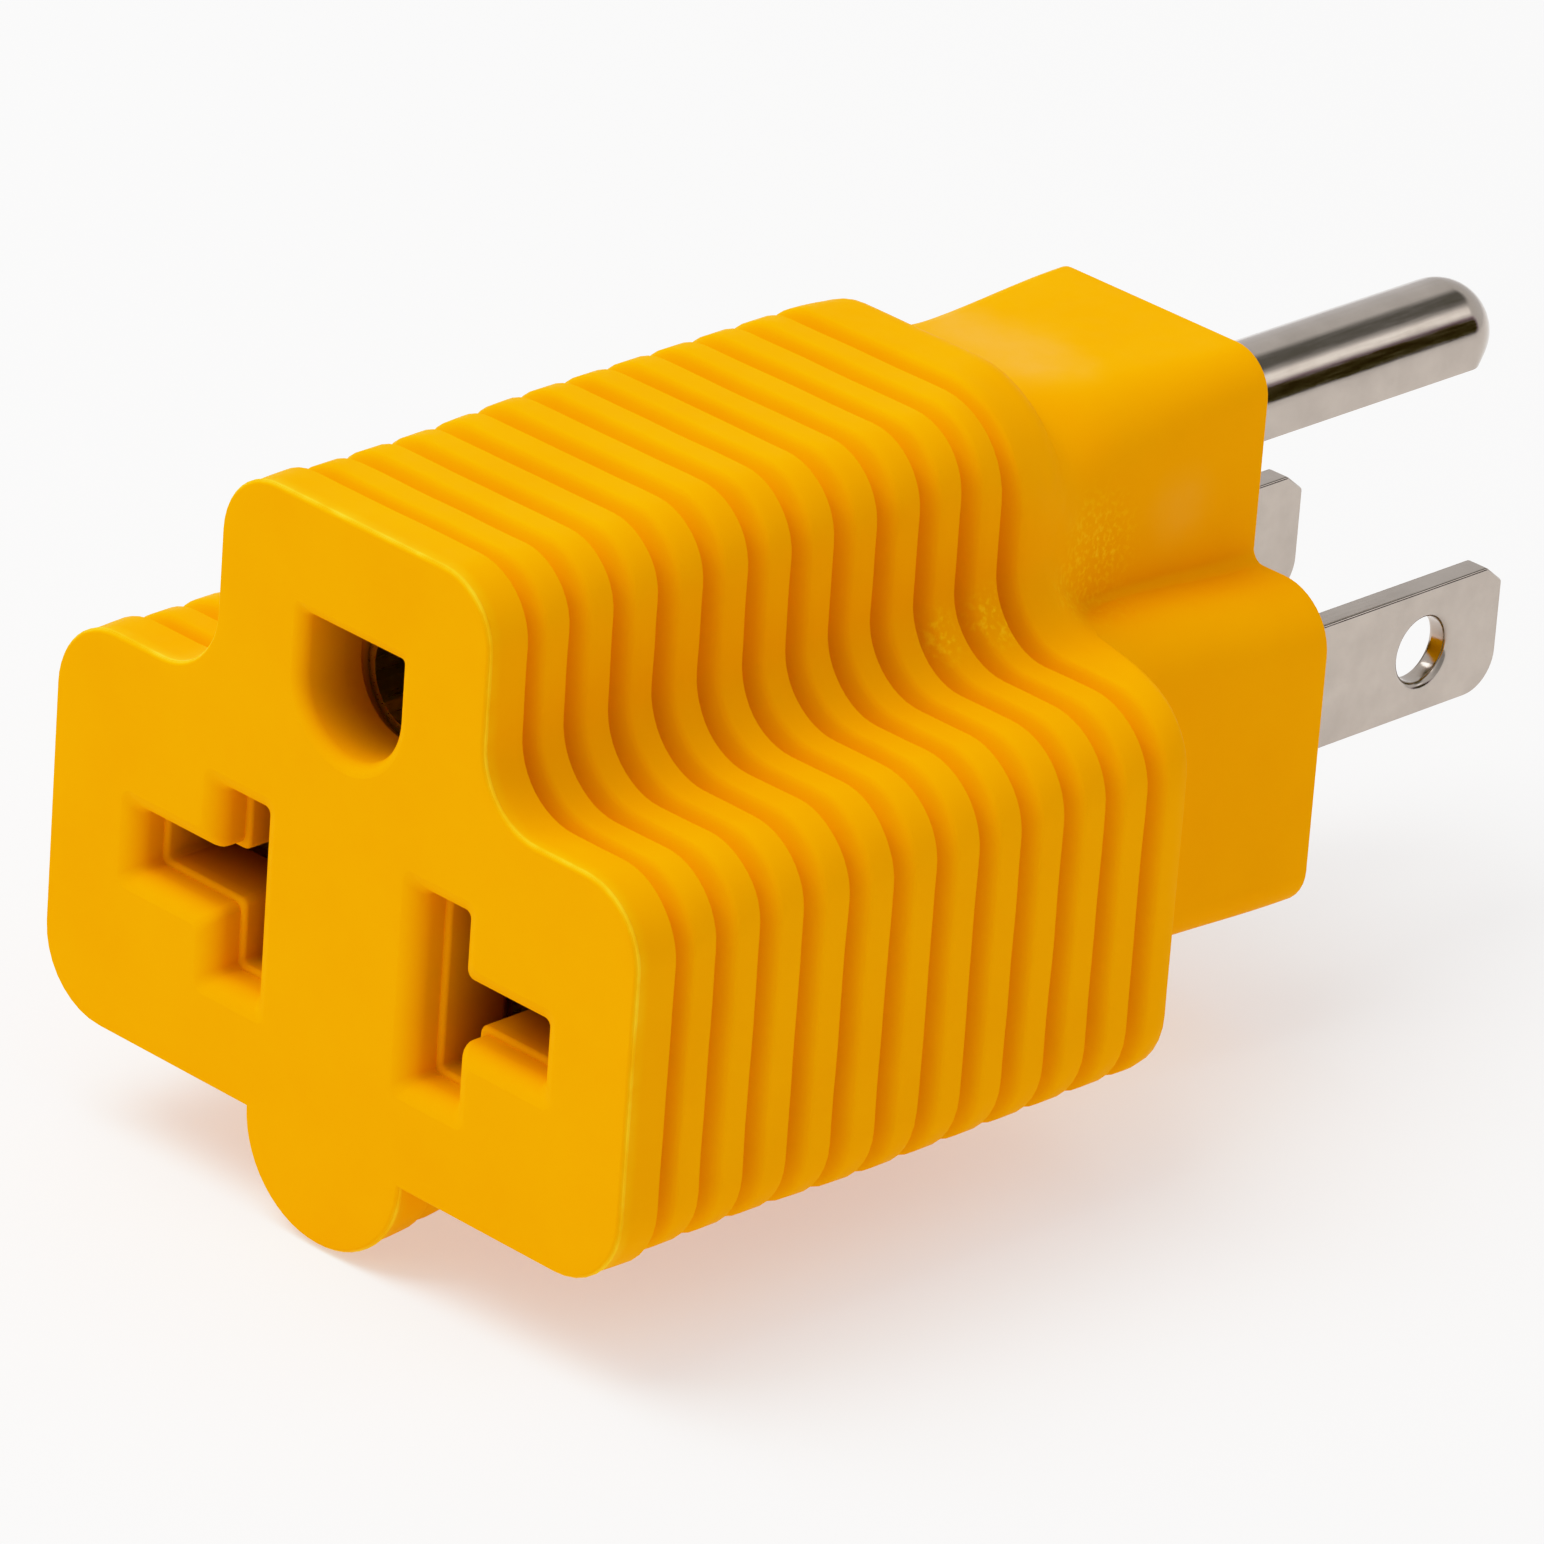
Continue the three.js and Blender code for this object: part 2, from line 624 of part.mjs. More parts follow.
// A cranked strap from the sleeve's tab up to the tail of the ground pin.
function groundLink() {
  const low = SLEEVE_TAB - SLEEVE.wall / 2 - GAP - STRAP / 2;
  const high = PIN_TAIL.height - STRAP - GAP;
  const line = [
    [SLEEVE_RIVET - RIVET_LAP, low],
    [SLEEVE_RIVET + 4, low],
    [PIN_TAIL.rivet - 3.2, high],
    [PIN_TAIL.rivet + RIVET_LAP, high],
  ];
  const shape = cut(
    alongX(sheetOutline(line, STRAP), ...around(0, STRAP_WIDTH / 2)),
    bar(RIVET_HOLE, "z", [0, SLEEVE_RIVET, 0], ...around(low, PAST)),
    bar(RIVET_HOLE, "z", [0, PIN_TAIL.rivet, 0], ...around(high, PAST)),
  );
  return namedMesh("ground_link", shape, linkFinish);
}

// ---------------------------------------------------------------- rivets

// A shank through the stack, with a head standing just clear at each end.
function rivet(name, axis, place, from, to) {
  const start = from - GAP;
  const end = to + GAP;
  const shape = joined(
    bar(RIVET.radius, axis, place, start, end, 12),
    bar(RIVET.head, axis, place, start - RIVET.headHeight, start, 12),
    bar(RIVET.head, axis, place, end, end + RIVET.headHeight, 12),
  );
  return namedMesh(name, shape, rivetFinish);
}

function contactRivet(name, side) {
  return rivet(name, "y", [side * BLADE_X, 0, 0], CLIP_WEB - LEAF / 2, FLANGE + STRAP / 2);
}

function bladeRivet(name, side) {
  const faces = [side * (BLADE_X - BLADE.thickness / 2), side * (STRAP_X + STRAP / 2)];
  return rivet(name, "x", [0, BLADE_RIVET, 0], ...span(...faces));
}

function sleeveRivet() {
  const top = SLEEVE_TAB + SLEEVE.wall / 2;
  return rivet("sleeve_rivet", "z", [0, SLEEVE_RIVET, 0], top - SLEEVE.wall - GAP - STRAP, top);
}

function pinRivet() {
  const top = PIN_TAIL.height + STRAP / 2;
  return rivet("pin_rivet", "z", [0, PIN_TAIL.rivet, 0], top - 2 * STRAP - GAP, top);
}

// ---------------------------------------------------------------- the assembly

const adapter = new THREE.Group();
adapter.name = "plug_adapter";
adapter.add(overmould(), socketCover(), contactCarrier(), bladeBridge());
for (const [pole, side] of [["hot", -1], ["neutral", 1]]) {
  adapter.add(
    blade(`${pole}_blade`, side),
    uprightClip(`${pole}_upright_clip`, side),
    levelClip(`${pole}_level_clip`, side),
    bladeLink(`${pole}_link`, side),
    contactRivet(`${pole}_contact_rivet`, side),
    bladeRivet(`${pole}_blade_rivet`, side),
  );
}
adapter.add(groundPin(), groundSleeve(), groundLink(), sleeveRivet(), pinRivet());

export default adapter;
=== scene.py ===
"""Looks for a moulded grounding plug adapter: two blades and a ground pin behind, T slots in front.

Shapes are worked out in millimetres, in the frame's own axes: the origin is the middle of the plug's
end face, +Y runs to the blade tips, +Z points at the ground pin, and the socket faces -Y.
"""

import json
import math
from functools import partial

import bmesh
import bpy
import numpy as np
from mathutils import Matrix, Vector, noise


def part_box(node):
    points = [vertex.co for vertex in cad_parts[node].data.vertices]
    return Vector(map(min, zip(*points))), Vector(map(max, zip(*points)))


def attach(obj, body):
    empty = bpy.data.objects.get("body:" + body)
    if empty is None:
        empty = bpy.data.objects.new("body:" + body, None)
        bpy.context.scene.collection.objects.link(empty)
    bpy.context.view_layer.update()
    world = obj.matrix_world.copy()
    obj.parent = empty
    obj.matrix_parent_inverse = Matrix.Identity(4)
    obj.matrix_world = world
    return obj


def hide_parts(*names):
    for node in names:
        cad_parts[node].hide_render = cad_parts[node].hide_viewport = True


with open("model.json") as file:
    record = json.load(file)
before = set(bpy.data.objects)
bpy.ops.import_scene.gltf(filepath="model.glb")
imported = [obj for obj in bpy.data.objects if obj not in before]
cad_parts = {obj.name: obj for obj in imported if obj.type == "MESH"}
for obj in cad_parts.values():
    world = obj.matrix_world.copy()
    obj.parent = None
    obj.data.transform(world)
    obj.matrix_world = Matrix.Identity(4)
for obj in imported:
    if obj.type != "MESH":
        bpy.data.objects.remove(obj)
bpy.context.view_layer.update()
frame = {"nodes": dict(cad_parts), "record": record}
MM = 0.001


def node_box(name):
    """A CAD node's lowest and highest corner, in millimetres."""
    low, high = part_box(name)
    return low / MM, high / MM


# ------------------------------------------------------------------ sizes

JACKET_LOW, JACKET_HIGH = node_box("overmould_jacket")
COVER_LOW, COVER_HIGH = node_box("socket_cover")
_, CARRIER_HIGH = node_box("contact_carrier")
BRIDGE_LOW, BRIDGE_HIGH = node_box("blade_bridge")
BLADE_LOW, BLADE_HIGH = node_box("neutral_blade")
_, PIN_HIGH = node_box("ground_pin")
SLEEVE_LOW, SLEEVE_HIGH = node_box("ground_sleeve")

# The wall in front of the insert is a little thinner here than in the CAD part, so that the step in
# the slots falls where the photo has it.
SOCKET_FACE = JACKET_LOW.y
REAR_FACE = JACKET_HIGH.y
CAD_FRONT_WALL = 2.8
FRONT_WALL = 2.6
GAP = COVER_LOW.y - SOCKET_FACE - CAD_FRONT_WALL
BLADE_X = (BLADE_LOW.x + BLADE_HIGH.x) / 2
GROUND_HEIGHT = 11.9

# The ribs behind the front flange. A groove's wall and its floor end, and its rise reaches the next
# crest, at these shares of the pitch. Each rib is sliced at the shares in RIB_SLICES, which are close
# together where it curves most. The first ribs lie a little below the flange.
FLANGE = 2.3
RIB_PITCH = 2.6
GROOVES = 12
GROOVE_DEPTH = 1.2
GROOVE_SHARES = {"wall": 0.04, "floor": 0.13, "crest": 0.56}
RIB_SLICES = (
    0, 0.012, 0.028, 0.04, 0.085, 0.13, 0.17, 0.21, 0.25, 0.29, 0.34, 0.39, 0.44, 0.5, 0.56, 0.78,
)
FIRST_EDGE = SOCKET_FACE + FLANGE
RIB_END = FIRST_EDGE + GROOVES * RIB_PITCH
FRONT_SINK = {"depth": 0.22, "fall": 0.3, "end": -33.0, "rise": 8}
WANDER = {"size": 0.06, "scale": 0.35, "end": -12, "fade": 3}

# The collar behind the ribs. Its side and its lid draw in to the neck with a rounded edge each, the
# wall of the upper part follows in a long ease, the corners change over a length of their own, and
# the crown's corners swell on the way.
COLLAR_END = -15.8
CORNER_LENGTH = 5.3
HOLLOW_END = -10.6
COLLAR_SIDE = {"start": COLLAR_END - 0.9, "end": HOLLOW_END, "roundness": 3.0}
COLLAR_LID = {"start": COLLAR_END + 0.4, "end": HOLLOW_END, "roundness": 1.7}
COLLAR_WALL = {"start": -17.6, "length": 8.2}
CROWN_SWELL = {"by": 2.4, "start": -21, "rise": 5.5, "end": -8.8, "fall": 3.4}
NOSE_LENGTH = 10

# Outlines across the body: a narrow upper part on a wide lower part.
BODY = {
    "upper": 8.4, "top": JACKET_HIGH.z, "lower": JACKET_HIGH.x, "shoulder": 9.4, "bottom": -9.65,
    "top_radius": 3.2, "side_radius": 3.6, "fillet": 3.4, "bottom_radius": 3.8, "far_radius": 3.2,
}
NECK = {
    "upper": 6.45, "top": 17.55, "lower": 11.05, "shoulder": 8.2, "bottom": -8.0,
    "top_radius": 3.4, "side_radius": 3.0, "fillet": 0.4, "bottom_radius": 2.0, "far_radius": 1.3,
}
NOSE = {
    "upper": 6.75, "top": 17.7, "lower": 11.7, "shoulder": 7.7, "bottom": -8.0,
    "top_radius": 2.2, "side_radius": 3.0, "fillet": 0.6, "bottom_radius": 2.0, "far_radius": 0.9,
}
INSERT = {
    "upper": 5.9, "top": COVER_HIGH.z, "lower": COVER_HIGH.x, "shoulder": 6.9, "bottom": COVER_LOW.z,
    "top_radius": 1.6, "side_radius": 2.0, "fillet": 1.0, "bottom_radius": 2.0,
}
BRIDGE = {
    "upper": 4.4, "top": BRIDGE_HIGH.z, "lower": BRIDGE_HIGH.x, "shoulder": 5.4, "bottom": BRIDGE_LOW.z,
    "top_radius": 1.4, "side_radius": 1.4, "fillet": 0.8, "bottom_radius": 1.4,
}
FLAT_MIDDLE = 2.0
KEEL = {
    "half": 4.95, "bottom": JACKET_LOW.z, "taper": 0.12, "end": -17.5, "fade": 4, "narrowing": 2.0,
}

# How many pieces each stretch of a half outline has at full detail, from the bottom to the top. The
# hidden outlines have a share of that.
OUTLINE_STEPS = {
    "keel": 14, "underside": 8, "corner": 9, "side": 10, "shoulder": 12, "ledge": 2, "step": 12,
    "wall": 6, "crown": 10, "lid": 6,
}
INSERT_DETAIL = 0.5
ROOM_DETAIL = 0.4

# The faces' rounded edges, and the ridge of flash behind the front one: its shape as pairs of how far
# below its top, as a share of its height, and how far behind the face. Behind it the flange rises
# again, from a start over a length. The flash's mark says where the ridge is painted paler: partly the
# thin flash's own paler plastic, partly a painted highlight along the edge.
FRONT_EDGE = 0.16
REAR_EDGE = 0.28
FLASH = {"height": 0.05, "rise_start": 0.6, "rise_length": 1.5}
FLASH_PROFILE = ((1, 0.13), (0.3, 0.15), (0, 0.18), (0, 0.27), (0.5, 0.3), (1, 0.33))
FLASH_HIGHLIGHT_MARK = {"middle": 0.2, "reach": 0.18, "strength": 1.4}

# Rings on the face, as distances inside its edge, and on the flange, as distances behind the face.
# Then start, end and spacing of the rings on the collar, on its hollow and on the neck.
FACE_RINGS = (1.5, 0.8)
FLANGE_RINGS = (0.9, 1.5)
RING_SPACING = ((RIB_END, -14.0, 0.12), (-14.0, -10.0, 0.25), (-10.0, -0.5, 0.7))

# The openings' throats. Each slot widens to a step, and every opening ends in a large rounded edge.
SLOT = {
    "width": 2.2, "height": 8.46, "leg_end": 12.62, "leg_height": 2.34,
    "corner": 0.22, "corner_growth": 0.25, "hollow": 0.4,
}
GROUND_HOLE = {"radius": 3.02, "flat_top": 14.66, "round": 0.65, "corner": 0.22, "corner_growth": 0.1}
LEAD_IN = {"step": 0.29, "depth": 1.8, "round": 1.05, "lip": 0.24}

# Painted shade: the openings' walls are painted darker from a start over a length, inside a half width
# and up to a top, in place of the shade that falls deep inside them.
SHADE_REACH = 8.0
SLOT_SHADE = {"start": 1.4, "length": 4.0, "half": 14.3, "top": 6.5}
HOLE_SHADE = {"start": 1.0, "length": 3.8, "half": 5.0, "top": 16.4}

# Room inside for the straps, the play round the blades and the pin, and how far a cutter runs on
# past a face that it opens.
STRAP_CHANNEL = {"inner": 4.6, "outer": 9.6}
GROUND_CHANNEL = {"half": 2.9, "floor": 7.2, "top": 15.6}
SNUG = 0.04
PAST = 1

# The plated parts. Each blade has a cut corner above and a round one below. The pin's tip draws back
# below its middle.
BLADE_TIP = {"cut": 1.1, "slope": 0.8, "round": 1.9, "edge": 0.14}
TIP_HOLE = {"place": 11.9, "radius": 1.62, "rim": 0.34}
RIVET_HOLE = {"place": -16.6, "radius": 1.15, "rim": 0.1}
PIN = {"radius": 2.52, "wall": 0.9, "skirt": 1.1, "shorter": 0.6, "recede": 0.4, "edge": 0.12}
CONTACT_RIM = 0.14

# ------------------------------------------------------------------ meshes


def closed_mesh(name, vertices, faces):
    """A new object from points in millimetres, with every face turned outwards."""
    mesh = bpy.data.meshes.new(name)
    mesh.from_pydata((np.asarray(vertices) * MM).tolist(), [], faces)
    work = bmesh.new()
    work.from_mesh(mesh)
    bmesh.ops.recalc_face_normals(work, faces=work.faces)
    work.to_mesh(mesh)
    work.free()
    piece = bpy.data.objects.new(name, mesh)
    bpy.context.scene.collection.objects.link(piece)
    return piece


def skin(name, rings):
    """A closed skin through rings that all have the same number of points, capped at both ends."""
    count = len(rings[0])
    faces = [tuple(reversed(range(count)))]
    for ring in range(len(rings) - 1):
        start = ring * count
        for i in range(count):
            j = (i + 1) % count
            faces.append((start + i, start + j, start + count + j, start + count + i))
    last = (len(rings) - 1) * count
    faces.append(tuple(range(last, last + count)))
    return closed_mesh(name, np.concatenate(rings), faces)


def baked(piece):
    """Replaces the piece's mesh by the one that its modifiers make."""
    graph = bpy.context.evaluated_depsgraph_get()
    made = bpy.data.meshes.new_from_object(piece.evaluated_get(graph))
    piece.modifiers.clear()
    piece.data = made
    return piece


def carved(piece, cutters):
    """The piece with all the cutters taken out of it."""
    tools = bpy.data.collections.new("cutters")
    for cutter in cutters:
        tools.objects.link(cutter)
    modifier = piece.modifiers.new("cut", "BOOLEAN")
    modifier.operation = "DIFFERENCE"
    modifier.operand_type = "COLLECTION"
    modifier.collection = tools
    modifier.solver = "EXACT"
    baked(piece)
    for cutter in cutters:
        bpy.data.objects.remove(cutter)
    bpy.data.collections.remove(tools)
    return piece


def smoothed(piece, angle=32):
    """Smooth shading, with large faces kept flat and edges sharper than the angle left crisp."""
    piece.data.polygons.foreach_set("use_smooth", [True] * len(piece.data.polygons))
    piece.data.set_sharp_from_angle(angle=math.radians(angle))
    modifier = piece.modifiers.new("flat faces", "WEIGHTED_NORMAL")
    modifier.keep_sharp = True
    return baked(piece)


def bevelled(piece, width, segments=3, angle=35):
    """The piece with its edges rounded where they turn by more than the angle."""
    modifier = piece.modifiers.new("bevel", "BEVEL")
    modifier.width = width * MM
    modifier.segments = segments
    modifier.limit_method = "ANGLE"
    modifier.angle_limit = math.radians(angle)
    return baked(piece)


def marked(piece, name, share_at):
    """Gives each point of a piece a value from its place in millimetres, for the materials to use."""
    mesh = piece.data
    places = np.empty(3 * len(mesh.vertices))
    mesh.vertices.foreach_get("co", places)
    shares = share_at(*(places.reshape(-1, 3).T / MM))
    marks = mesh.attributes.new(name, "FLOAT", "POINT")
    marks.data.foreach_set("value", np.clip(shares, 0, 1).astype(np.float32))
    return piece


def finished(piece, material, slot_name, *nodes):
    """Gives a piece its material and its place on the object, and hides the CAD nodes that it stands
    for.
    """
    piece.data.materials.clear()
    piece.data.materials.append(material)
    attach(piece, "root")
    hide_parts(*nodes)
    return piece


# ------------------------------------------------------------------ outlines


def arc(centre, radius, start, end, steps):
    """Points on an arc, both ends included, with angles in degrees."""
    angles = np.radians(np.linspace(start, end, steps + 1))
    return np.stack([centre[0] + radius * np.cos(angles), centre[1] + radius * np.sin(angles)], 1)


def circle(centre, radius, sides):
    return arc(centre, radius, 0, 360 - 360 / sides, sides - 1)


def run(start, end, steps):
    """The points inside a straight stretch, without its ends."""
    shares = np.linspace(0, 1, steps + 1)[1:-1, None]
    return np.asarray(start) * (1 - shares) + np.asarray(end) * shares


def rectangle(low, high):
    return np.array([(low[0], low[1]), (high[0], low[1]), (high[0], high[1]), (low[0], high[1])])


def inset(size, distance):
    """The sizes of the same outline moved in by a distance."""
    grows = ("bottom", "fillet", "keel_bottom")
    return {name: value + (distance if name in grows else -distance) for name, value in size.items()}


def half_outline(size, top_radius, detail):
    """The right half of the stepped outline, from the bottom middle up to the top middle."""

    def steps(stretch):
        return max(2, round(OUTLINE_STEPS[stretch] * detail))

    lower, upper, bottom, top = size["lower"], size["upper"], size["bottom"], size["top"]
    shoulder, fillet = size["shoulder"], size["fillet"]
    side_radius, bottom_radius = size["side_radius"], size["bottom_radius"]
    keel_half = size.get("keel_half", FLAT_MIDDLE)
    keel_drop = bottom - size.get("keel_bottom", bottom)
    turns = np.radians(np.linspace(0, 90, steps("keel") + 1))
    keel = np.stack([keel_half * np.sin(turns), bottom - keel_drop * np.cos(turns)], 1)
    corner_centre = (lower - bottom_radius, bottom + bottom_radius)
    corner = arc(corner_centre, bottom_radius, -90, 0, steps("corner"))
    side = arc((lower - side_radius, shoulder - side_radius), side_radius, 0, 90, steps("shoulder"))
    step = arc((upper + fillet, shoulder + fillet), fillet, 270, 180, steps("step"))
    crown = arc((upper - top_radius, top - top_radius), top_radius, 0, 90, steps("crown"))
    return np.concatenate([
        keel,
        run(keel[-1], corner[0], steps("underside")), corner,
        run(corner[-1], side[0], steps("side")), side,
        run(side[-1], step[0], steps("ledge")), step,
        run(step[-1], crown[0], steps("wall")), crown,
        run(crown[-1], (0, top), steps("lid")), [(0, top)],
    ])


def stepped_outline(size, detail=1.0):
    """The stepped outline, anticlockwise from the bottom middle, seen along +Y."""
    right = half_outline(size, size["top_radius"], detail)
    left = half_outline(size, size.get("far_radius", size["top_radius"]), detail)
    return np.concatenate([right, left[-2:0:-1] * (-1, 1)])


def lifted(outline, y):
    """An outline's points in space, at a place along the object."""
    return np.insert(outline, 1, y, axis=1)


def prism(name, outline, start, end):
    return skin(name, [lifted(outline, start), lifted(outline, end)])


def softened(corners, radii, steps=4):
    """A polygon with its corners rounded. A corner's arc is tangent to both of its sides."""
    corners = [np.asarray(corner, float) for corner in corners]
    points = []
    for i, corner in enumerate(corners):
        before = corners[i - 1] - corner
        after = corners[(i + 1) % len(corners)] - corner
        before /= np.linalg.norm(before)
        after /= np.linalg.norm(after)
        middle = before + after
        half_angle = math.acos(np.clip(before @ after, -1, 1)) / 2
        reach = radii[i] / math.tan(half_angle)
        centre = corner + middle / np.linalg.norm(middle) * radii[i] / math.sin(half_angle)
        first = corner + before * reach - centre
        last = corner + after * reach - centre
        for share in np.linspace(0, 1, steps + 1):
            spoke = first * (1 - share) + last * share
            points.append(centre + spoke / np.linalg.norm(spoke) * radii[i])
    return np.array(points)


# ------------------------------------------------------------------ openings


def slot_outline(side, margin):
    """A T lying on its side, with its stem upright and its leg pointing outwards."""
    inner = BLADE_X - SLOT["width"] / 2 - margin
    outer = BLADE_X + SLOT["width"] / 2 + margin
    end = SLOT["leg_end"] + margin
    high = SLOT["height"] / 2 + margin
    leg = SLOT["leg_height"] / 2 + margin
    corners = [
        (inner, -high), (outer, -high), (outer, -leg), (end, -leg),
        (end, leg), (outer, leg), (outer, high), (inner, high),
    ]
    convex = SLOT["corner"] + SLOT["corner_growth"] * margin
    hollow = SLOT["hollow"]
    radii = [convex, convex, hollow, convex, convex, hollow, convex, convex]
    return softened(corners, radii) * (side, 1)


def ground_hole_outline(margin):
    """A round-bottomed hole with a flat top."""
    radius = GROUND_HOLE["radius"] + margin
    top = GROUND_HOLE["flat_top"] + margin
    corner = GROUND_HOLE["corner"] + GROUND_HOLE["corner_growth"] * margin
    return np.concatenate([
        arc((0, GROUND_HEIGHT), radius, 180, 360, steps=32),
        arc((radius - corner, top - corner), corner, 0, 90, steps=4),
        arc((corner - radius, top - corner), corner, 90, 180, steps=4),
    ])


def rounded_edge(wall, face, radius, turn=90, steps=8):
    """An opening's edge as (margin, place) pairs, from its wall out towards the face."""
    angles = np.radians(np.linspace(0, turn, steps + 1))
    return [(wall + radius * (1 - math.cos(a)), face + radius * (1 - math.sin(a))) for a in angles]


def mouth(wall, face, radius):
    """The rounded edge where an opening meets a face, carried on past the face."""
    turn, beyond = 80, 0.1
    pairs = rounded_edge(wall, face, radius, turn)
    margin, place = pairs[-1]
    return [*pairs, (margin + beyond * math.tan(math.radians(turn)), place - beyond)]


def slot_walls(start):
    """A slot's walls from a place behind: the throat, its rounded edge, the step and the mouth."""
    step = LEAD_IN["step"]
    ledge = SOCKET_FACE + LEAD_IN["depth"]
    throat = [(0, start), *rounded_edge(0, ledge, LEAD_IN["lip"]), (step, ledge)]
    return [*throat, *mouth(step, SOCKET_FACE, LEAD_IN["round"])]


def opening_cutter(name, outline_at, walls):
    """A cutter with an opening's outline at each (margin, place) pair of its walls."""
    return skin(name, [lifted(outline_at(margin), y) for margin, y in walls])


def opening_cutters(walls_of_slots, walls_of_hole):
    """The cutters for both slots and the ground hole."""
    cutters = [
        opening_cutter(f"slot_{side}", partial(slot_outline, side), walls_of_slots) for side in (-1, 1)
    ]
    return [*cutters, opening_cutter("hole", ground_hole_outline, walls_of_hole)]


# ------------------------------------------------------------------ jacket


def blend(start, end, share):
    """The sizes of an outline part of the way from one to another."""
    return {name: start[name] + (end[name] - start[name]) * share for name in start}


def ease(share):
    """A smooth step from 0 to 1."""
    share = min(max(share, 0.0), 1.0)
    return share * share * (3 - 2 * share)


def drawn_in(y, start, end, roundness):
    """How far a part of the outline has drawn in: a rounded edge, a steep fall and a long hollow."""
    along = min(max((y - start) / (end - start), 0.0), 1.0)
    rest = (1 - along) ** 3
    return 1 - rest / (rest + roundness * along * along)


def groove_depth(y):
    """A steep wall behind each rib's edge, a narrow floor, then a rounded rise to the next crest."""
    along = (y - FIRST_EDGE) / RIB_PITCH
    if along < 0 or along >= GROOVES:
        return 0.0
    share = along % 1
    wall, floor, crest = (GROOVE_SHARES[name] for name in ("wall", "floor", "crest"))
    if share < wall:
        return GROOVE_DEPTH * ease(share / wall)
    return GROOVE_DEPTH * (1 - ease((share - floor) / (crest - floor)))


def front_sink(y):
    """How far the first ribs' crests lie below the front flange."""
    falling = ease((y - FIRST_EDGE) / FRONT_SINK["fall"])
    rising = ease((FRONT_SINK["end"] - y) / FRONT_SINK["rise"])
    return FRONT_SINK["depth"] * falling * rising


def crown_swell(y):
    """How much rounder the crown's corners are on the collar."""
    growing = ease((y - CROWN_SWELL["start"]) / CROWN_SWELL["rise"])
    shrinking = ease((CROWN_SWELL["end"] - y) / CROWN_SWELL["fall"])
    return CROWN_SWELL["by"] * growing * shrinking


def keel_size(y, bottom):
    """The keel's half width and lowest point: it tapers backwards and fades into the underside."""
    depth = y - SOCKET_FACE
    floor = KEEL["bottom"] + KEEL["taper"] * depth
    fade = ease((y - KEEL["end"] + KEEL["fade"]) / KEEL["fade"])
    half = KEEL["half"] - KEEL["taper"] / 2 * depth * (1 - fade) - KEEL["narrowing"] * fade
    return {"keel_half": half, "keel_bottom": min(floor + (bottom - floor) * fade, bottom)}


def body_size(y):
    """The jacket's outline at a place along it: the ribbed body, the collar, the neck or the nose."""
    tail = blend(NECK, NOSE, ease((y + NOSE_LENGTH) / NOSE_LENGTH))
    size = blend(BODY, tail, ease((y - COLLAR_END) / CORNER_LENGTH))
    side = drawn_in(y, **COLLAR_SIDE)
    shares = {name: side for name in ("lower", "bottom", "side_radius", "bottom_radius")}
    shares["top"] = drawn_in(y, **COLLAR_LID)
    shares["upper"] = ease((y - COLLAR_WALL["start"]) / COLLAR_WALL["length"])
    for name, share in shares.items():
        size[name] = BODY[name] + (tail[name] - BODY[name]) * share
    size["top_radius"] += crown_swell(y)
    size = inset(size, groove_depth(y) + front_sink(y))
    return {**size, **keel_size(y, size["bottom"])}


def wobble(points, strength):
    """Moves points along the object by a little, as a moulding's edges wander."""
    for point in points:
        point[1] += strength * noise.noise(Vector(point) * WANDER["scale"])
    return points


def front_rings():
    """The face, its rounded edge and the thin ridge of flash where the mould's halves met."""
    height = FLASH["height"]
    pairs = [(height + distance, 0.0) for distance in FACE_RINGS]
    for turn in np.radians(np.linspace(0, 80, 7)):
        distance = height + FRONT_EDGE * (1 - math.sin(turn))
        pairs.append((distance, FRONT_EDGE * (1 - math.cos(turn))))
    pairs += [(share * height, depth) for share, depth in FLASH_PROFILE]
    return [
        lifted(stepped_outline(inset(body_size(SOCKET_FACE), distance)), SOCKET_FACE + depth)
        for distance, depth in pairs
    ]


def body_ring(y):
    """A ring of the flange, the ribs, the collar or the neck. The ribs wander, the neck does not."""
    behind = y - SOCKET_FACE
    wander = WANDER["size"] * ease(behind / WANDER["fade"]) * ease((WANDER["end"] - y) / WANDER["fade"])
    risen = ease((behind - FLASH["rise_start"]) / FLASH["rise_length"])
    size = inset(body_size(y), FLASH["height"] * (1 - risen))
    return wobble(lifted(stepped_outline(size), y), wander)


def end_rings():
    """The rounded edge of the plug's end face."""
    rings = []
    for turn in np.radians(np.linspace(0, 90, 6)):
        size = inset(body_size(REAR_FACE), REAR_EDGE * (1 - math.cos(turn)))
        rings.append(lifted(stepped_outline(size), REAR_FACE - REAR_EDGE * (1 - math.sin(turn))))
    return rings


def jacket_rings():
    """All rings of the jacket's skin, from the socket's face to the plug's end."""
    places = [SOCKET_FACE + distance for distance in FLANGE_RINGS]
    places += [FIRST_EDGE + (rib + share) * RIB_PITCH for rib in range(GROOVES) for share in RIB_SLICES]
    for start, end, spacing in RING_SPACING:
        places += list(np.arange(start, end, spacing))
    return front_rings() + [body_ring(y) for y in places] + end_rings()


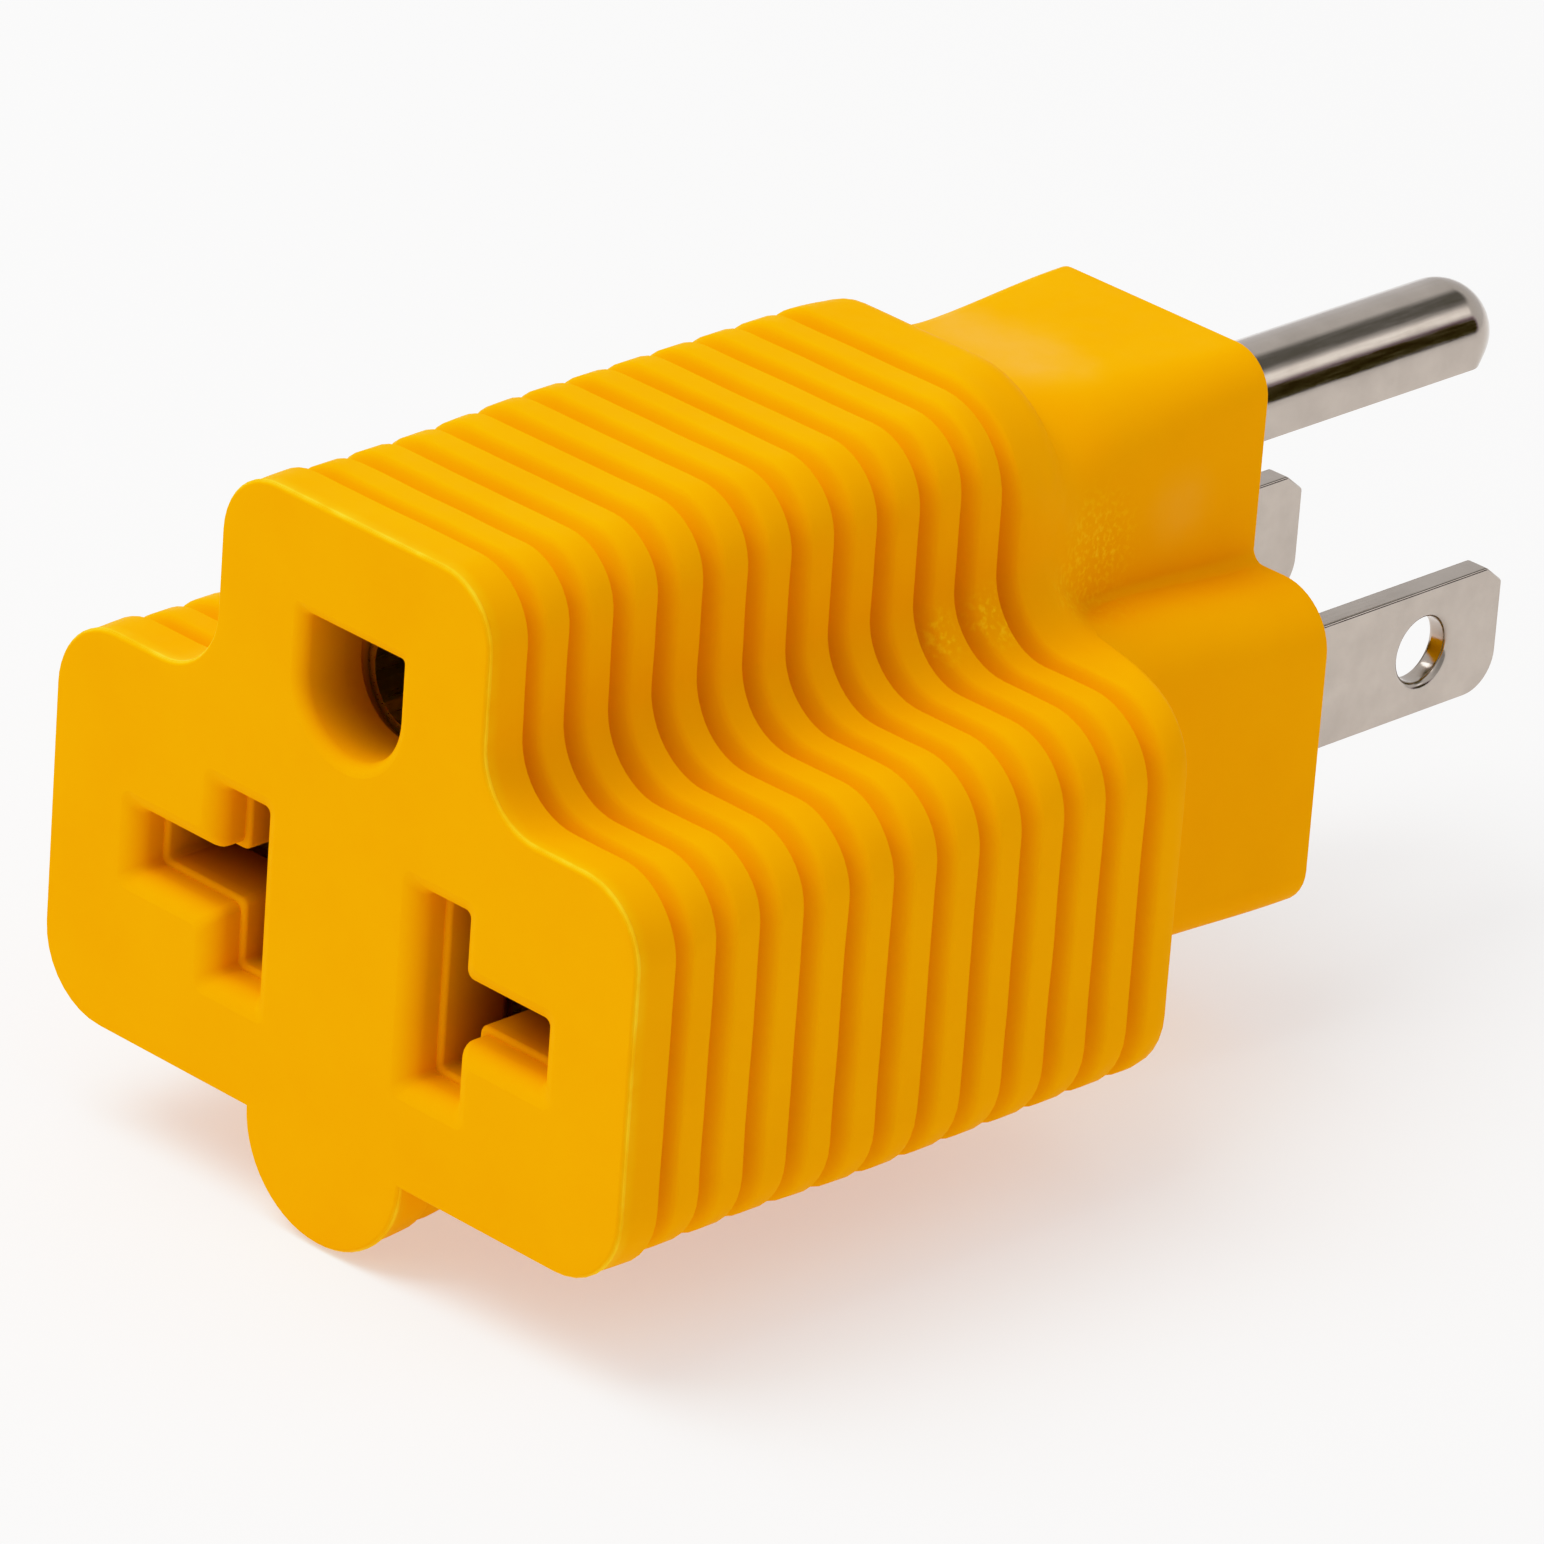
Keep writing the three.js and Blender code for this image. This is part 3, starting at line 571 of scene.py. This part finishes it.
def room_cutters():
    """Room inside for the insert and the bridge, with channels for the straps between them."""
    insert = stepped_outline(inset(INSERT, -GAP), ROOM_DETAIL)
    bridge = stepped_outline(inset(BRIDGE, -GAP), ROOM_DETAIL)
    between = (CARRIER_HIGH.y - GAP, BRIDGE_LOW.y + GAP)
    inner, outer = STRAP_CHANNEL["inner"], STRAP_CHANNEL["outer"]
    high = BLADE_HIGH.z + GAP
    half, floor, top = GROUND_CHANNEL["half"], GROUND_CHANNEL["floor"], GROUND_CHANNEL["top"]
    return [
        prism("room", insert, SOCKET_FACE + FRONT_WALL, CARRIER_HIGH.y + GAP),
        prism("seat", bridge, BRIDGE_LOW.y - GAP, BRIDGE_HIGH.y + GAP),
        prism("channel_left", rectangle((-outer, -high), (-inner, high)), *between),
        prism("channel_right", rectangle((inner, -high), (outer, high)), *between),
        prism("channel_top", rectangle((-half, floor), (half, top)), *between),
    ]


def plug_cutters():
    """Ways through the end wall for the blades and the ground pin."""
    through = (BRIDGE_HIGH.y, REAR_FACE + PAST)
    half = (BLADE_HIGH.x - BLADE_LOW.x) / 2 + SNUG
    cutters = []
    for side in (-1, 1):
        middle = side * BLADE_X
        way = rectangle((middle - half, BLADE_LOW.z - SNUG), (middle + half, BLADE_HIGH.z + SNUG))
        cutters.append(prism(f"blade_way_{side}", way, *through))
    radius = PIN["radius"] + SNUG
    foot = GROUND_HEIGHT - PIN["skirt"] - SNUG
    crown = arc((0, GROUND_HEIGHT), radius, 0, 180, steps=32)
    arch = np.concatenate([crown, [(-radius, foot), (radius, foot)]])
    return [*cutters, prism("pin_way", arch, *through)]


def flash_highlight_share(x, y, z):
    """1 on the ridge of flash just behind the socket's face, falling to 0 on both sides: where it is
    painted paler, partly the flash's own paler plastic, partly a painted highlight.
    """
    away = np.abs(y - SOCKET_FACE - FLASH_HIGHLIGHT_MARK["middle"]) / FLASH_HIGHLIGHT_MARK["reach"]
    return FLASH_HIGHLIGHT_MARK["strength"] * (1 - away)


def painted_shade_share(x, y, z):
    """How much painted shade the openings' walls get: 0 outside them, rising with the depth inside."""
    depth = y - SOCKET_FACE
    in_slot = (np.abs(z) < SLOT_SHADE["top"]) & (np.abs(x) < SLOT_SHADE["half"])
    in_hole = (z > SLOT_SHADE["top"]) & (z < HOLE_SHADE["top"]) & (np.abs(x) < HOLE_SHADE["half"])
    shares = np.zeros(len(depth))
    for inside, shade in ((in_slot, SLOT_SHADE), (in_hole, HOLE_SHADE)):
        shares = np.where(inside, (depth - shade["start"]) / shade["length"], shares)
    return np.where(depth < SHADE_REACH, shares, 0)


def make_jacket(material):
    """The ribbed yellow overmould, with its openings and the room inside."""
    # The flash's ridge is marked for its paler colour, which is partly a painted highlight.
    piece = marked(skin("jacket", jacket_rings()), "flash_and_highlight", flash_highlight_share)
    start = SOCKET_FACE + FRONT_WALL + PAST / 2
    hole_walls = [(0, start), *mouth(0, SOCKET_FACE, GROUND_HOLE["round"])]
    openings = opening_cutters(slot_walls(start), hole_walls)
    carved(piece, [*openings, *room_cutters(), *plug_cutters()])
    # Painted shade: the openings' walls get a darker colour by their depth.
    smoothed(marked(piece, "shade", painted_shade_share))
    return finished(piece, material, "jacket_pvc", "overmould_jacket")


# ------------------------------------------------------------------ socket plate


def make_socket_plate(material):
    """The insert's front plate, flush against the jacket's wall, with the same openings."""
    front = SOCKET_FACE + FRONT_WALL
    past = COVER_HIGH.y + PAST
    piece = prism("socket_plate", stepped_outline(INSERT, INSERT_DETAIL), front, COVER_HIGH.y)
    where_shade_changes = front + 1.4
    straight = [(0, past), (0, where_shade_changes), (0, front - PAST)]
    cutters = opening_cutters(straight, straight)
    middle = (0, (SLEEVE_LOW.z + SLEEVE_HIGH.z) / 2)
    sleeve_seat = circle(middle, SLEEVE_HIGH.x + GAP, sides=60)
    cutters.append(prism("seat", sleeve_seat, SLEEVE_LOW.y - GAP, past))
    # Painted shade: the plate's openings get a darker colour by their depth.
    smoothed(marked(carved(piece, cutters), "shade", painted_shade_share))
    return finished(piece, material, "insert_plastic", "socket_cover")


# ------------------------------------------------------------------ blades and ground pin


def punch(low_side, high_side, place, radius, rim):
    """A cutter for a round hole through a blade, flared at both ends for the hole's rounded rims."""
    flare = mouth(radius, low_side, rim)
    profile = flare[::-1] + [(size, low_side + high_side - x) for size, x in flare]
    return skin("punch", [
        np.insert(circle((place, 0), size, sides=64), 0, x, axis=1) for size, x in profile
    ])


def make_blade(pole, material):
    """A flat plated blade with a hole near its tip and a rivet's hole inside the plug."""
    node = f"{pole}_blade"
    low, high = node_box(node)
    cut, bend = BLADE_TIP["cut"], BLADE_TIP["round"]
    outline = np.concatenate([
        [(low.y, high.z), (low.y, low.z)],
        arc((high.y - bend, low.z + bend), bend, -90, 0, steps=12),
        [(high.y, high.z - BLADE_TIP["slope"] * cut), (high.y - cut, high.z)],
    ])
    rings = [np.insert(outline, 0, x, axis=1) for x in (low.x, high.x)]
    piece = bevelled(skin(f"{pole}_blade_plated", rings), BLADE_TIP["edge"])
    carved(piece, [punch(low.x, high.x, **hole) for hole in (TIP_HOLE, RIVET_HOLE)])
    smoothed(piece, 40)
    return finished(piece, material, "plated_blade", node)


def pin_slices(radius, root, tip, foot, crown_steps):
    """Level slices of a bar with a domed tip. Below its middle its sides are straight."""
    drop = GROUND_HEIGHT - foot
    levels = [
        (GROUND_HEIGHT - share * drop, radius, 1 - PIN["recede"] * share**2)
        for share in (1, 0.75, 0.5, 0.25)
    ]
    for turn in np.radians(np.linspace(0, 88, crown_steps + 1)):
        levels.append((GROUND_HEIGHT + radius * math.sin(turn), radius * math.cos(turn), 1))
    rings = []
    for height, half, length in levels:
        nose = arc((0, 0), half, 0, 180, steps=28) * (1, length) + (0, tip - radius)
        right, left = (half, root), (-half, root)
        to_nose, from_nose = run(right, nose[0], steps=12), run(nose[-1], left, steps=12)
        ring = np.concatenate([[right], to_nose, nose, from_nose, [left]])
        rings.append(np.insert(ring, 2, height, axis=1))
    return rings


def make_ground_pin(material):
    """The U-shaped pin: a hollow bar, open underneath."""
    foot = GROUND_HEIGHT - PIN["skirt"]
    root = BRIDGE_LOW.y + PAST
    tip = PIN_HIGH.y - PIN["shorter"]
    inner = PIN["radius"] - PIN["wall"]
    bar = skin("ground_pin_plated", pin_slices(PIN["radius"], root, tip, foot, crown_steps=16))
    piece = bevelled(bar, PIN["edge"], segments=2)
    inside = pin_slices(inner, root - PAST, tip - PIN["wall"], foot - PAST, crown_steps=8)
    hollow = skin("hollow", inside)
    smoothed(carved(piece, [hollow]), 40)
    return finished(piece, material, "plated_blade", "ground_pin")


# ------------------------------------------------------------------ materials

# Painted light on the moulding: painted shade deep in the openings, the flash's paler ridge, partly its
# own paler plastic and partly a painted highlight, and pale patches of painted sheen and specks of
# painted glints, each with its middle on the object and its reach. The strokes on the metal are long
# along the object.
# The colour of the painted shade deep in the openings.
PAINTED_SHADE = (0.34, 0.065, 0.0005)
# The pale colour of the flash, partly a painted highlight, and of the painted glints.
FLASH_PALE_AND_HIGHLIGHT = (0.97, 0.58, 0.035)
# Painted sheen: pale patches on the neck's top and side that stand in for soft highlights on its
# hollows.
PAINTED_SHEEN = (0.90, 0.40, 0.035)
PAINTED_SHEEN_PATCHES = (
    ((-4.6, -9.2, 17.5), 3.4),
    ((-1.8, -8.8, 17.5), 4.2),
    ((1.2, -9.2, 17.3), 3.6),
    ((6.6, -5.2, 11.4), 3.4),
)
# Painted glints: specks of pale colour on the rib crests and the neck's side, standing in for
# highlights.
PAINTED_GLINTS = (
    ((6.9, -10.8, 10.8), 4.0),
    ((7.8, -14.2, 9.7), 2.2),
    ((9.1, -19.6, 10.9), 2.0),
    ((9.1, -22.8, 10.9), 1.8),
)
STROKE_STRETCH = (1.0, 0.06, 1.0)


def node_material(name):
    """A new material, with what its functions need: its nodes, its links and its shader."""
    material = bpy.data.materials.new(name)
    material.use_nodes = True
    nodes = material.node_tree.nodes
    return material, nodes, material.node_tree.links, nodes["Principled BSDF"]


def place_of(nodes):
    return nodes.new("ShaderNodeTexCoord").outputs["Object"]


def speckle(nodes, links, place, scale, detail=3.0, roughness=0.55):
    """Noise with a number of features per metre."""
    texture = nodes.new("ShaderNodeTexNoise")
    texture.inputs["Scale"].default_value = scale
    texture.inputs["Detail"].default_value = detail
    texture.inputs["Roughness"].default_value = roughness
    links.new(place, texture.inputs["Vector"])
    return texture.outputs["Fac"]


def ramped(nodes, links, value, stops):
    """A colour from a value, with (value, colour) stops."""
    ramp = nodes.new("ShaderNodeValToRGB")
    ramp.color_ramp.elements[0].position = stops[0][0]
    ramp.color_ramp.elements[0].color = (*stops[0][1], 1)
    ramp.color_ramp.elements[1].position = stops[-1][0]
    ramp.color_ramp.elements[1].color = (*stops[-1][1], 1)
    for position, color in stops[1:-1]:
        ramp.color_ramp.elements.new(position).color = (*color, 1)
    links.new(value, ramp.inputs["Fac"])
    return ramp.outputs["Color"]


def ranged(nodes, links, value, low, high):
    """A noise value's usual range, 0.3 to 0.7, spread over another one."""
    spread = nodes.new("ShaderNodeMapRange")
    spread.inputs["From Min"].default_value = 0.3
    spread.inputs["From Max"].default_value = 0.7
    spread.inputs["To Min"].default_value = low
    spread.inputs["To Max"].default_value = high
    links.new(value, spread.inputs["Value"])
    return spread.outputs["Result"]


def bumped(nodes, links, height, strength, distance, under=None):
    """A surface's normal with a bump from a height, on top of another bump where there is one."""
    bump = nodes.new("ShaderNodeBump")
    bump.inputs["Strength"].default_value = strength
    bump.inputs["Distance"].default_value = distance
    links.new(height, bump.inputs["Height"])
    if under is not None:
        links.new(under, bump.inputs["Normal"])
    return bump.outputs["Normal"]


def mixed_color(nodes, links, share, first, second):
    """A colour that goes from the first socket's to a fixed second one."""
    mix = nodes.new("ShaderNodeMix")
    mix.data_type = "RGBA"
    links.new(share, mix.inputs["Factor"])
    links.new(first, mix.inputs["A"])
    mix.inputs["B"].default_value = (*second, 1)
    return mix.outputs["Result"]


def near(nodes, links, place, centre, reach):
    """1 at a place on the object, in millimetres, falling to 0 at a distance from it."""
    gap = nodes.new("ShaderNodeVectorMath")
    gap.operation = "DISTANCE"
    gap.inputs[1].default_value = Vector(centre) * MM
    links.new(place, gap.inputs[0])
    full_within = 0.15 * reach
    fade = nodes.new("ShaderNodeMapRange")
    fade.interpolation_type = "SMOOTHSTEP"
    fade.inputs["From Min"].default_value = reach * MM
    fade.inputs["From Max"].default_value = full_within * MM
    links.new(gap.outputs["Value"], fade.inputs["Value"])
    return fade.outputs["Result"]


def product(nodes, links, first, second):
    times = nodes.new("ShaderNodeMath")
    times.operation = "MULTIPLY"
    links.new(first, times.inputs[0])
    links.new(second, times.inputs[1])
    return times.outputs["Value"]


def mark(nodes, name):
    """The value that marked() gave the piece's points."""
    attribute = nodes.new("ShaderNodeAttribute")
    attribute.attribute_name = name
    return attribute.outputs["Fac"]


def patched(nodes, links, place, color, patches, patch_color, texture):
    """A colour with patches of another one, broken up by a texture."""
    for centre, reach in patches:
        share = product(nodes, links, near(nodes, links, place, centre, reach), texture)
        color = mixed_color(nodes, links, share, color, patch_color)
    return color


def moulded_color(nodes, links, place, dark, middle, light):
    """Faint clouding, the flash's paler ridge with a painted highlight, painted sheen and glints, and
    painted shade deepening inside the openings.
    """
    clouds = speckle(nodes, links, place, scale=160, detail=4.0)
    color = ramped(nodes, links, clouds, [(0.3, dark), (0.5, middle), (0.72, light)])
    breaks = speckle(nodes, links, place, scale=700, detail=2.0)
    broken = ranged(nodes, links, breaks, low=0.35, high=1.0)
    # The flash's paler ridge: partly the thin plastic's own paler tone, partly a painted highlight
    # along the edge.
    color = mixed_color(nodes, links, product(nodes, links, mark(nodes, "flash_and_highlight"), broken), color, FLASH_PALE_AND_HIGHLIGHT)
    # Painted shade: the openings' walls darken with depth, standing in for the shade inside them.
    color = mixed_color(nodes, links, mark(nodes, "shade"), color, PAINTED_SHADE)
    # Painted sheen: pale patches in place of soft highlights on the neck.
    sheen_breakup = ranged(nodes, links, speckle(nodes, links, place, scale=260), low=0.4, high=1.0)
    color = patched(nodes, links, place, color, PAINTED_SHEEN_PATCHES, PAINTED_SHEEN, sheen_breakup)
    # Painted glints: pale specks in place of highlights on the rib crests and the neck.
    glint_specks = speckle(nodes, links, place, scale=3400, detail=2.0)
    glint_flecks = ranged(nodes, links, glint_specks, low=-0.6, high=0.72)
    return patched(nodes, links, place, color, PAINTED_GLINTS, FLASH_PALE_AND_HIGHLIGHT, glint_flecks)


def moulded_plastic(name, dark, middle, light, gloss):
    """Soft coloured plastic with a fine grain, shallow dents and a roughness that wanders."""
    material, nodes, links, shader = node_material(name)
    place = place_of(nodes)
    links.new(moulded_color(nodes, links, place, dark, middle, light), shader.inputs["Base Color"])
    patches = speckle(nodes, links, place, scale=900)
    links.new(ranged(nodes, links, patches, gloss - 0.05, gloss + 0.07), shader.inputs["Roughness"])
    grain = speckle(nodes, links, place, scale=5200, detail=2.0)
    dents = speckle(nodes, links, place, scale=420, detail=2.0)
    normal = bumped(nodes, links, dents, strength=0.25, distance=0.00005)
    normal = bumped(nodes, links, grain, strength=0.12, distance=0.00002, under=normal)
    links.new(normal, shader.inputs["Normal"])
    shader.inputs["Subsurface Weight"].default_value = 0.05
    shader.inputs["Subsurface Radius"].default_value = (1.0, 0.42, 0.06)
    shader.inputs["Subsurface Scale"].default_value = 0.0004
    shader.inputs["Specular IOR Level"].default_value = 0.05
    shader.inputs["Specular Tint"].default_value = (1.0, 0.6, 0.05, 1)
    return material


def brushed_metal(name, dark, light, gloss):
    """Satin metal with fine strokes along the blades and faint clouding."""
    material, nodes, links, shader = node_material(name)
    place = place_of(nodes)
    stretch = nodes.new("ShaderNodeMapping")
    stretch.inputs["Scale"].default_value = STROKE_STRETCH
    links.new(place, stretch.inputs["Vector"])
    strokes = speckle(nodes, links, stretch.outputs["Vector"], scale=9000)
    clouds = speckle(nodes, links, place, scale=500)
    links.new(ramped(nodes, links, clouds, [(0.3, dark), (0.7, light)]), shader.inputs["Base Color"])
    links.new(ranged(nodes, links, strokes, gloss - 0.04, gloss + 0.06), shader.inputs["Roughness"])
    links.new(bumped(nodes, links, strokes, strength=0.08, distance=0.00001), shader.inputs["Normal"])
    shader.inputs["Metallic"].default_value = 1.0
    return material


MATERIALS = {
    "jacket_pvc": moulded_plastic(
        "yellow_pvc",
        dark=(0.885, 0.362, 0.001),
        middle=(0.90, 0.375, 0.0015),
        light=(0.91, 0.385, 0.002),
        gloss=0.58,
    ),
    "insert_plastic": moulded_plastic(
        "yellow_insert",
        dark=(0.84, 0.34, 0.001),
        middle=(0.88, 0.36, 0.0015),
        light=(0.9, 0.38, 0.002),
        gloss=0.52,
    ),
    "plated_blade": brushed_metal(
        "nickel_plate", dark=(0.405, 0.355, 0.30), light=(0.46, 0.405, 0.345), gloss=0.15
    ),
    "contact_brass": brushed_metal(
        "spring_brass", dark=(0.52, 0.38, 0.16), light=(0.64, 0.48, 0.22), gloss=0.3
    ),
    "link_copper": brushed_metal(
        "copper_strap", dark=(0.56, 0.28, 0.15), light=(0.68, 0.36, 0.2), gloss=0.34
    ),
    "rivet_brass": brushed_metal(
        "rivet_brass", dark=(0.56, 0.41, 0.18), light=(0.68, 0.52, 0.25), gloss=0.34
    ),
}

# ------------------------------------------------------------------ camera and studio

CAMERA = {
    "azimuth": 43.806,
    "elevation": 25.01,
    "roll": -4.308,
    "lens": 287.05,
    "aim": (-9.85, -13.08, -5.62),
    "distance": 562.87,
}

# What bright metal mirrors: a pale room with dark flags and a bright strip. Each one has its own
# level within an inner angle of its direction, in degrees, and is gone at an outer one.
ROOM_LEVEL = 0.815
ROOM_PATCHES = {
    "front_flag": {"toward": (0.8, -0.6, -0.05), "inner": 20, "outer": 70, "level": 0.5 * ROOM_LEVEL},
    "low_flag": {"toward": (0.72, 0.67, 0.19), "inner": 11, "outer": 19, "level": 0.02},
    "high_flag": {"toward": (0.05, 0.65, 0.76), "inner": 8, "outer": 20, "level": 0.16},
    "strip": {"toward": (0.48, 0.65, 0.57), "inner": 4, "outer": 10, "level": 1.65},
}
LOW_FLAG_TINT = (1.0, 0.5, 0.8)

# Tone curves as (from, to) pairs. Everything from the brightest value on is white.
BRIGHTEST = 1.5
HIGHLIGHTS = ((0.4, 0.4), (0.7, 0.7), (0.93, 0.86), (1.15, 0.945))
LOW_BLUES = ((0.012, 0.002), (0.03, 0.014), (0.055, 0.05), (0.09, 0.09))


def place_camera():
    """A camera at the photo's viewing angle."""
    azimuth = math.radians(CAMERA["azimuth"])
    elevation = math.radians(CAMERA["elevation"])
    level = Vector((math.cos(azimuth), math.sin(azimuth), 0))
    forward = Vector((
        -math.sin(azimuth) * math.cos(elevation),
        math.cos(azimuth) * math.cos(elevation),
        -math.sin(elevation),
    ))
    turn = Matrix.Rotation(math.radians(CAMERA["roll"]), 3, forward)
    right = turn @ level
    up = right.cross(forward)
    place = Matrix((right, up, -forward)).transposed().to_4x4()
    place.translation = (Vector(CAMERA["aim"]) - forward * CAMERA["distance"]) * MM
    data = bpy.data.cameras.new("camera")
    data.lens = CAMERA["lens"]
    data.sensor_width = 36
    data.clip_start = 0.05
    data.clip_end = 20
    camera = bpy.data.objects.new("camera", data)
    camera.matrix_world = place
    bpy.context.scene.collection.objects.link(camera)
    bpy.context.scene.camera = camera


def seen_from_above(nodes, links, shader):
    """Lets a view from underneath see through a floor."""
    above = nodes.new("ShaderNodeMixShader")
    links.new(nodes.new("ShaderNodeNewGeometry").outputs["Backfacing"], above.inputs["Fac"])
    links.new(shader.outputs["BSDF"], above.inputs[1])
    links.new(nodes.new("ShaderNodeBsdfTransparent").outputs["BSDF"], above.inputs[2])
    links.new(above.outputs["Shader"], nodes["Material Output"].inputs["Surface"])


def floor_material(glow):
    """Pale and dull, lit a little from below as a light table is."""
    material, nodes, links, shader = node_material("pale_floor")
    shader.inputs["Base Color"].default_value = (0.66, 0.66, 0.66, 1)
    shader.inputs["Roughness"].default_value = 0.9
    shader.inputs["Specular IOR Level"].default_value = 0.1
    shader.inputs["Emission Color"].default_value = (1, 1, 1, 1)
    shader.inputs["Emission Strength"].default_value = glow
    seen_from_above(nodes, links, shader)
    return material


def make_floor(half_width, clearance, glow):
    """A floor at a small clearance below the keel. Its sizes are in metres."""
    low, high, level = -half_width, half_width, JACKET_LOW.z * MM - clearance
    mesh = bpy.data.meshes.new("floor")
    corners = [(low, low, level), (high, low, level), (high, high, level), (low, high, level)]
    mesh.from_pydata(corners, [], [(0, 1, 2, 3)])
    mesh.materials.append(floor_material(glow))
    floor = bpy.data.objects.new("floor", mesh)
    bpy.context.scene.collection.objects.link(floor)


def softbox(name, place, size, power):
    """A rectangular light at a place in metres, facing the origin."""
    data = bpy.data.lights.new(name, "AREA")
    data.shape = "RECTANGLE"
    data.size, data.size_y = size
    data.energy = power
    light = bpy.data.objects.new(name, data)
    light.location = place
    light.rotation_mode = "QUATERNION"
    light.rotation_quaternion = (-Vector(place)).to_track_quat("-Z", "Y")
    bpy.context.scene.collection.objects.link(light)


def direction_glow(nodes, links, toward, inner, outer):
    """1 within an inner angle of a direction, falling to 0 at an outer one, in degrees."""
    place = nodes.new("ShaderNodeTexCoord").outputs["Generated"]
    facing = nodes.new("ShaderNodeVectorMath")
    facing.operation = "DOT_PRODUCT"
    facing.inputs[1].default_value = Vector(toward).normalized()
    links.new(place, facing.inputs[0])
    fade = nodes.new("ShaderNodeMapRange")
    fade.interpolation_type = "SMOOTHSTEP"
    fade.inputs["From Min"].default_value = math.cos(math.radians(outer))
    fade.inputs["From Max"].default_value = math.cos(math.radians(inner))
    links.new(facing.outputs["Value"], fade.inputs["Value"])
    return fade.outputs["Result"]


def mixed(nodes, links, share, first, second):
    """A strength that goes from first to second. Each is a number or a socket."""
    mix = nodes.new("ShaderNodeMix")
    links.new(share, mix.inputs["Factor"])
    for socket, value in ((mix.inputs["A"], first), (mix.inputs["B"], second)):
        if isinstance(value, (int, float)):
            socket.default_value = value
        else:
            links.new(value, socket)
    return mix.outputs["Result"]


def make_world():
    """The room that lights the object and is mirrored in the metal. The camera sees plain white."""
    world = bpy.data.worlds.new("studio")
    world.use_nodes = True
    nodes, links = world.node_tree.nodes, world.node_tree.links
    level = ROOM_LEVEL
    glows = {}
    for name, patch in ROOM_PATCHES.items():
        glows[name] = direction_glow(nodes, links, patch["toward"], patch["inner"], patch["outer"])
        level = mixed(nodes, links, glows[name], level, patch["level"])
    seen = nodes.new("ShaderNodeLightPath").outputs["Is Camera Ray"]
    white = nodes.new("ShaderNodeRGB").outputs["Color"]
    white.default_value = (1, 1, 1, 1)
    tint_share = mixed(nodes, links, seen, glows["low_flag"], 0.0)
    background = nodes["Background"]
    links.new(mixed_color(nodes, links, tint_share, white, LOW_FLAG_TINT), background.inputs["Color"])
    links.new(mixed(nodes, links, seen, level, 1.0), background.inputs["Strength"])
    bpy.context.scene.world = world


def set_tones():
    """Bright colours are held back a little, as a camera does, and strong yellows lose their blue."""
    view = bpy.context.scene.view_settings
    view.view_transform = "Standard"
    view.use_curve_mapping = True
    mapping = view.curve_mapping
    mapping.clip_max_x = mapping.clip_max_y = 2
    _, _, blue, combined = mapping.curves
    combined.points[1].location = (BRIGHTEST, 1.0)
    for curve, points in ((combined, HIGHLIGHTS), (blue, LOW_BLUES)):
        for place, value in points:
            curve.points.new(place, value)
    mapping.update()


# ------------------------------------------------------------------ the scene


def dress_inner_nodes():
    """Materials for the CAD nodes that keep their shapes, and a rounded rim for the ground contact."""
    for subpart in frame["record"]["subparts"]:
        kept = frame["nodes"][subpart["node"]]
        kept.data.materials.clear()
        kept.data.materials.append(MATERIALS[subpart["material_slot"]])
    rim = frame["nodes"]["ground_sleeve"].modifiers.new("rim", "BEVEL")
    rim.width = CONTACT_RIM * MM
    rim.segments = 3
    rim.angle_limit = math.radians(40)


place_camera()
make_jacket(MATERIALS["jacket_pvc"])
make_socket_plate(MATERIALS["insert_plastic"])
for pole in ("hot", "neutral"):
    make_blade(pole, MATERIALS["plated_blade"])
make_ground_pin(MATERIALS["plated_blade"])
dress_inner_nodes()
make_floor(half_width=3.0, clearance=0.0002, glow=0.38)
make_world()
softbox("key", place=(-0.24, -0.28, 0.80), size=(0.6, 0.6), power=4.85)
set_tones()
bpy.context.scene.cycles.use_denoising = True
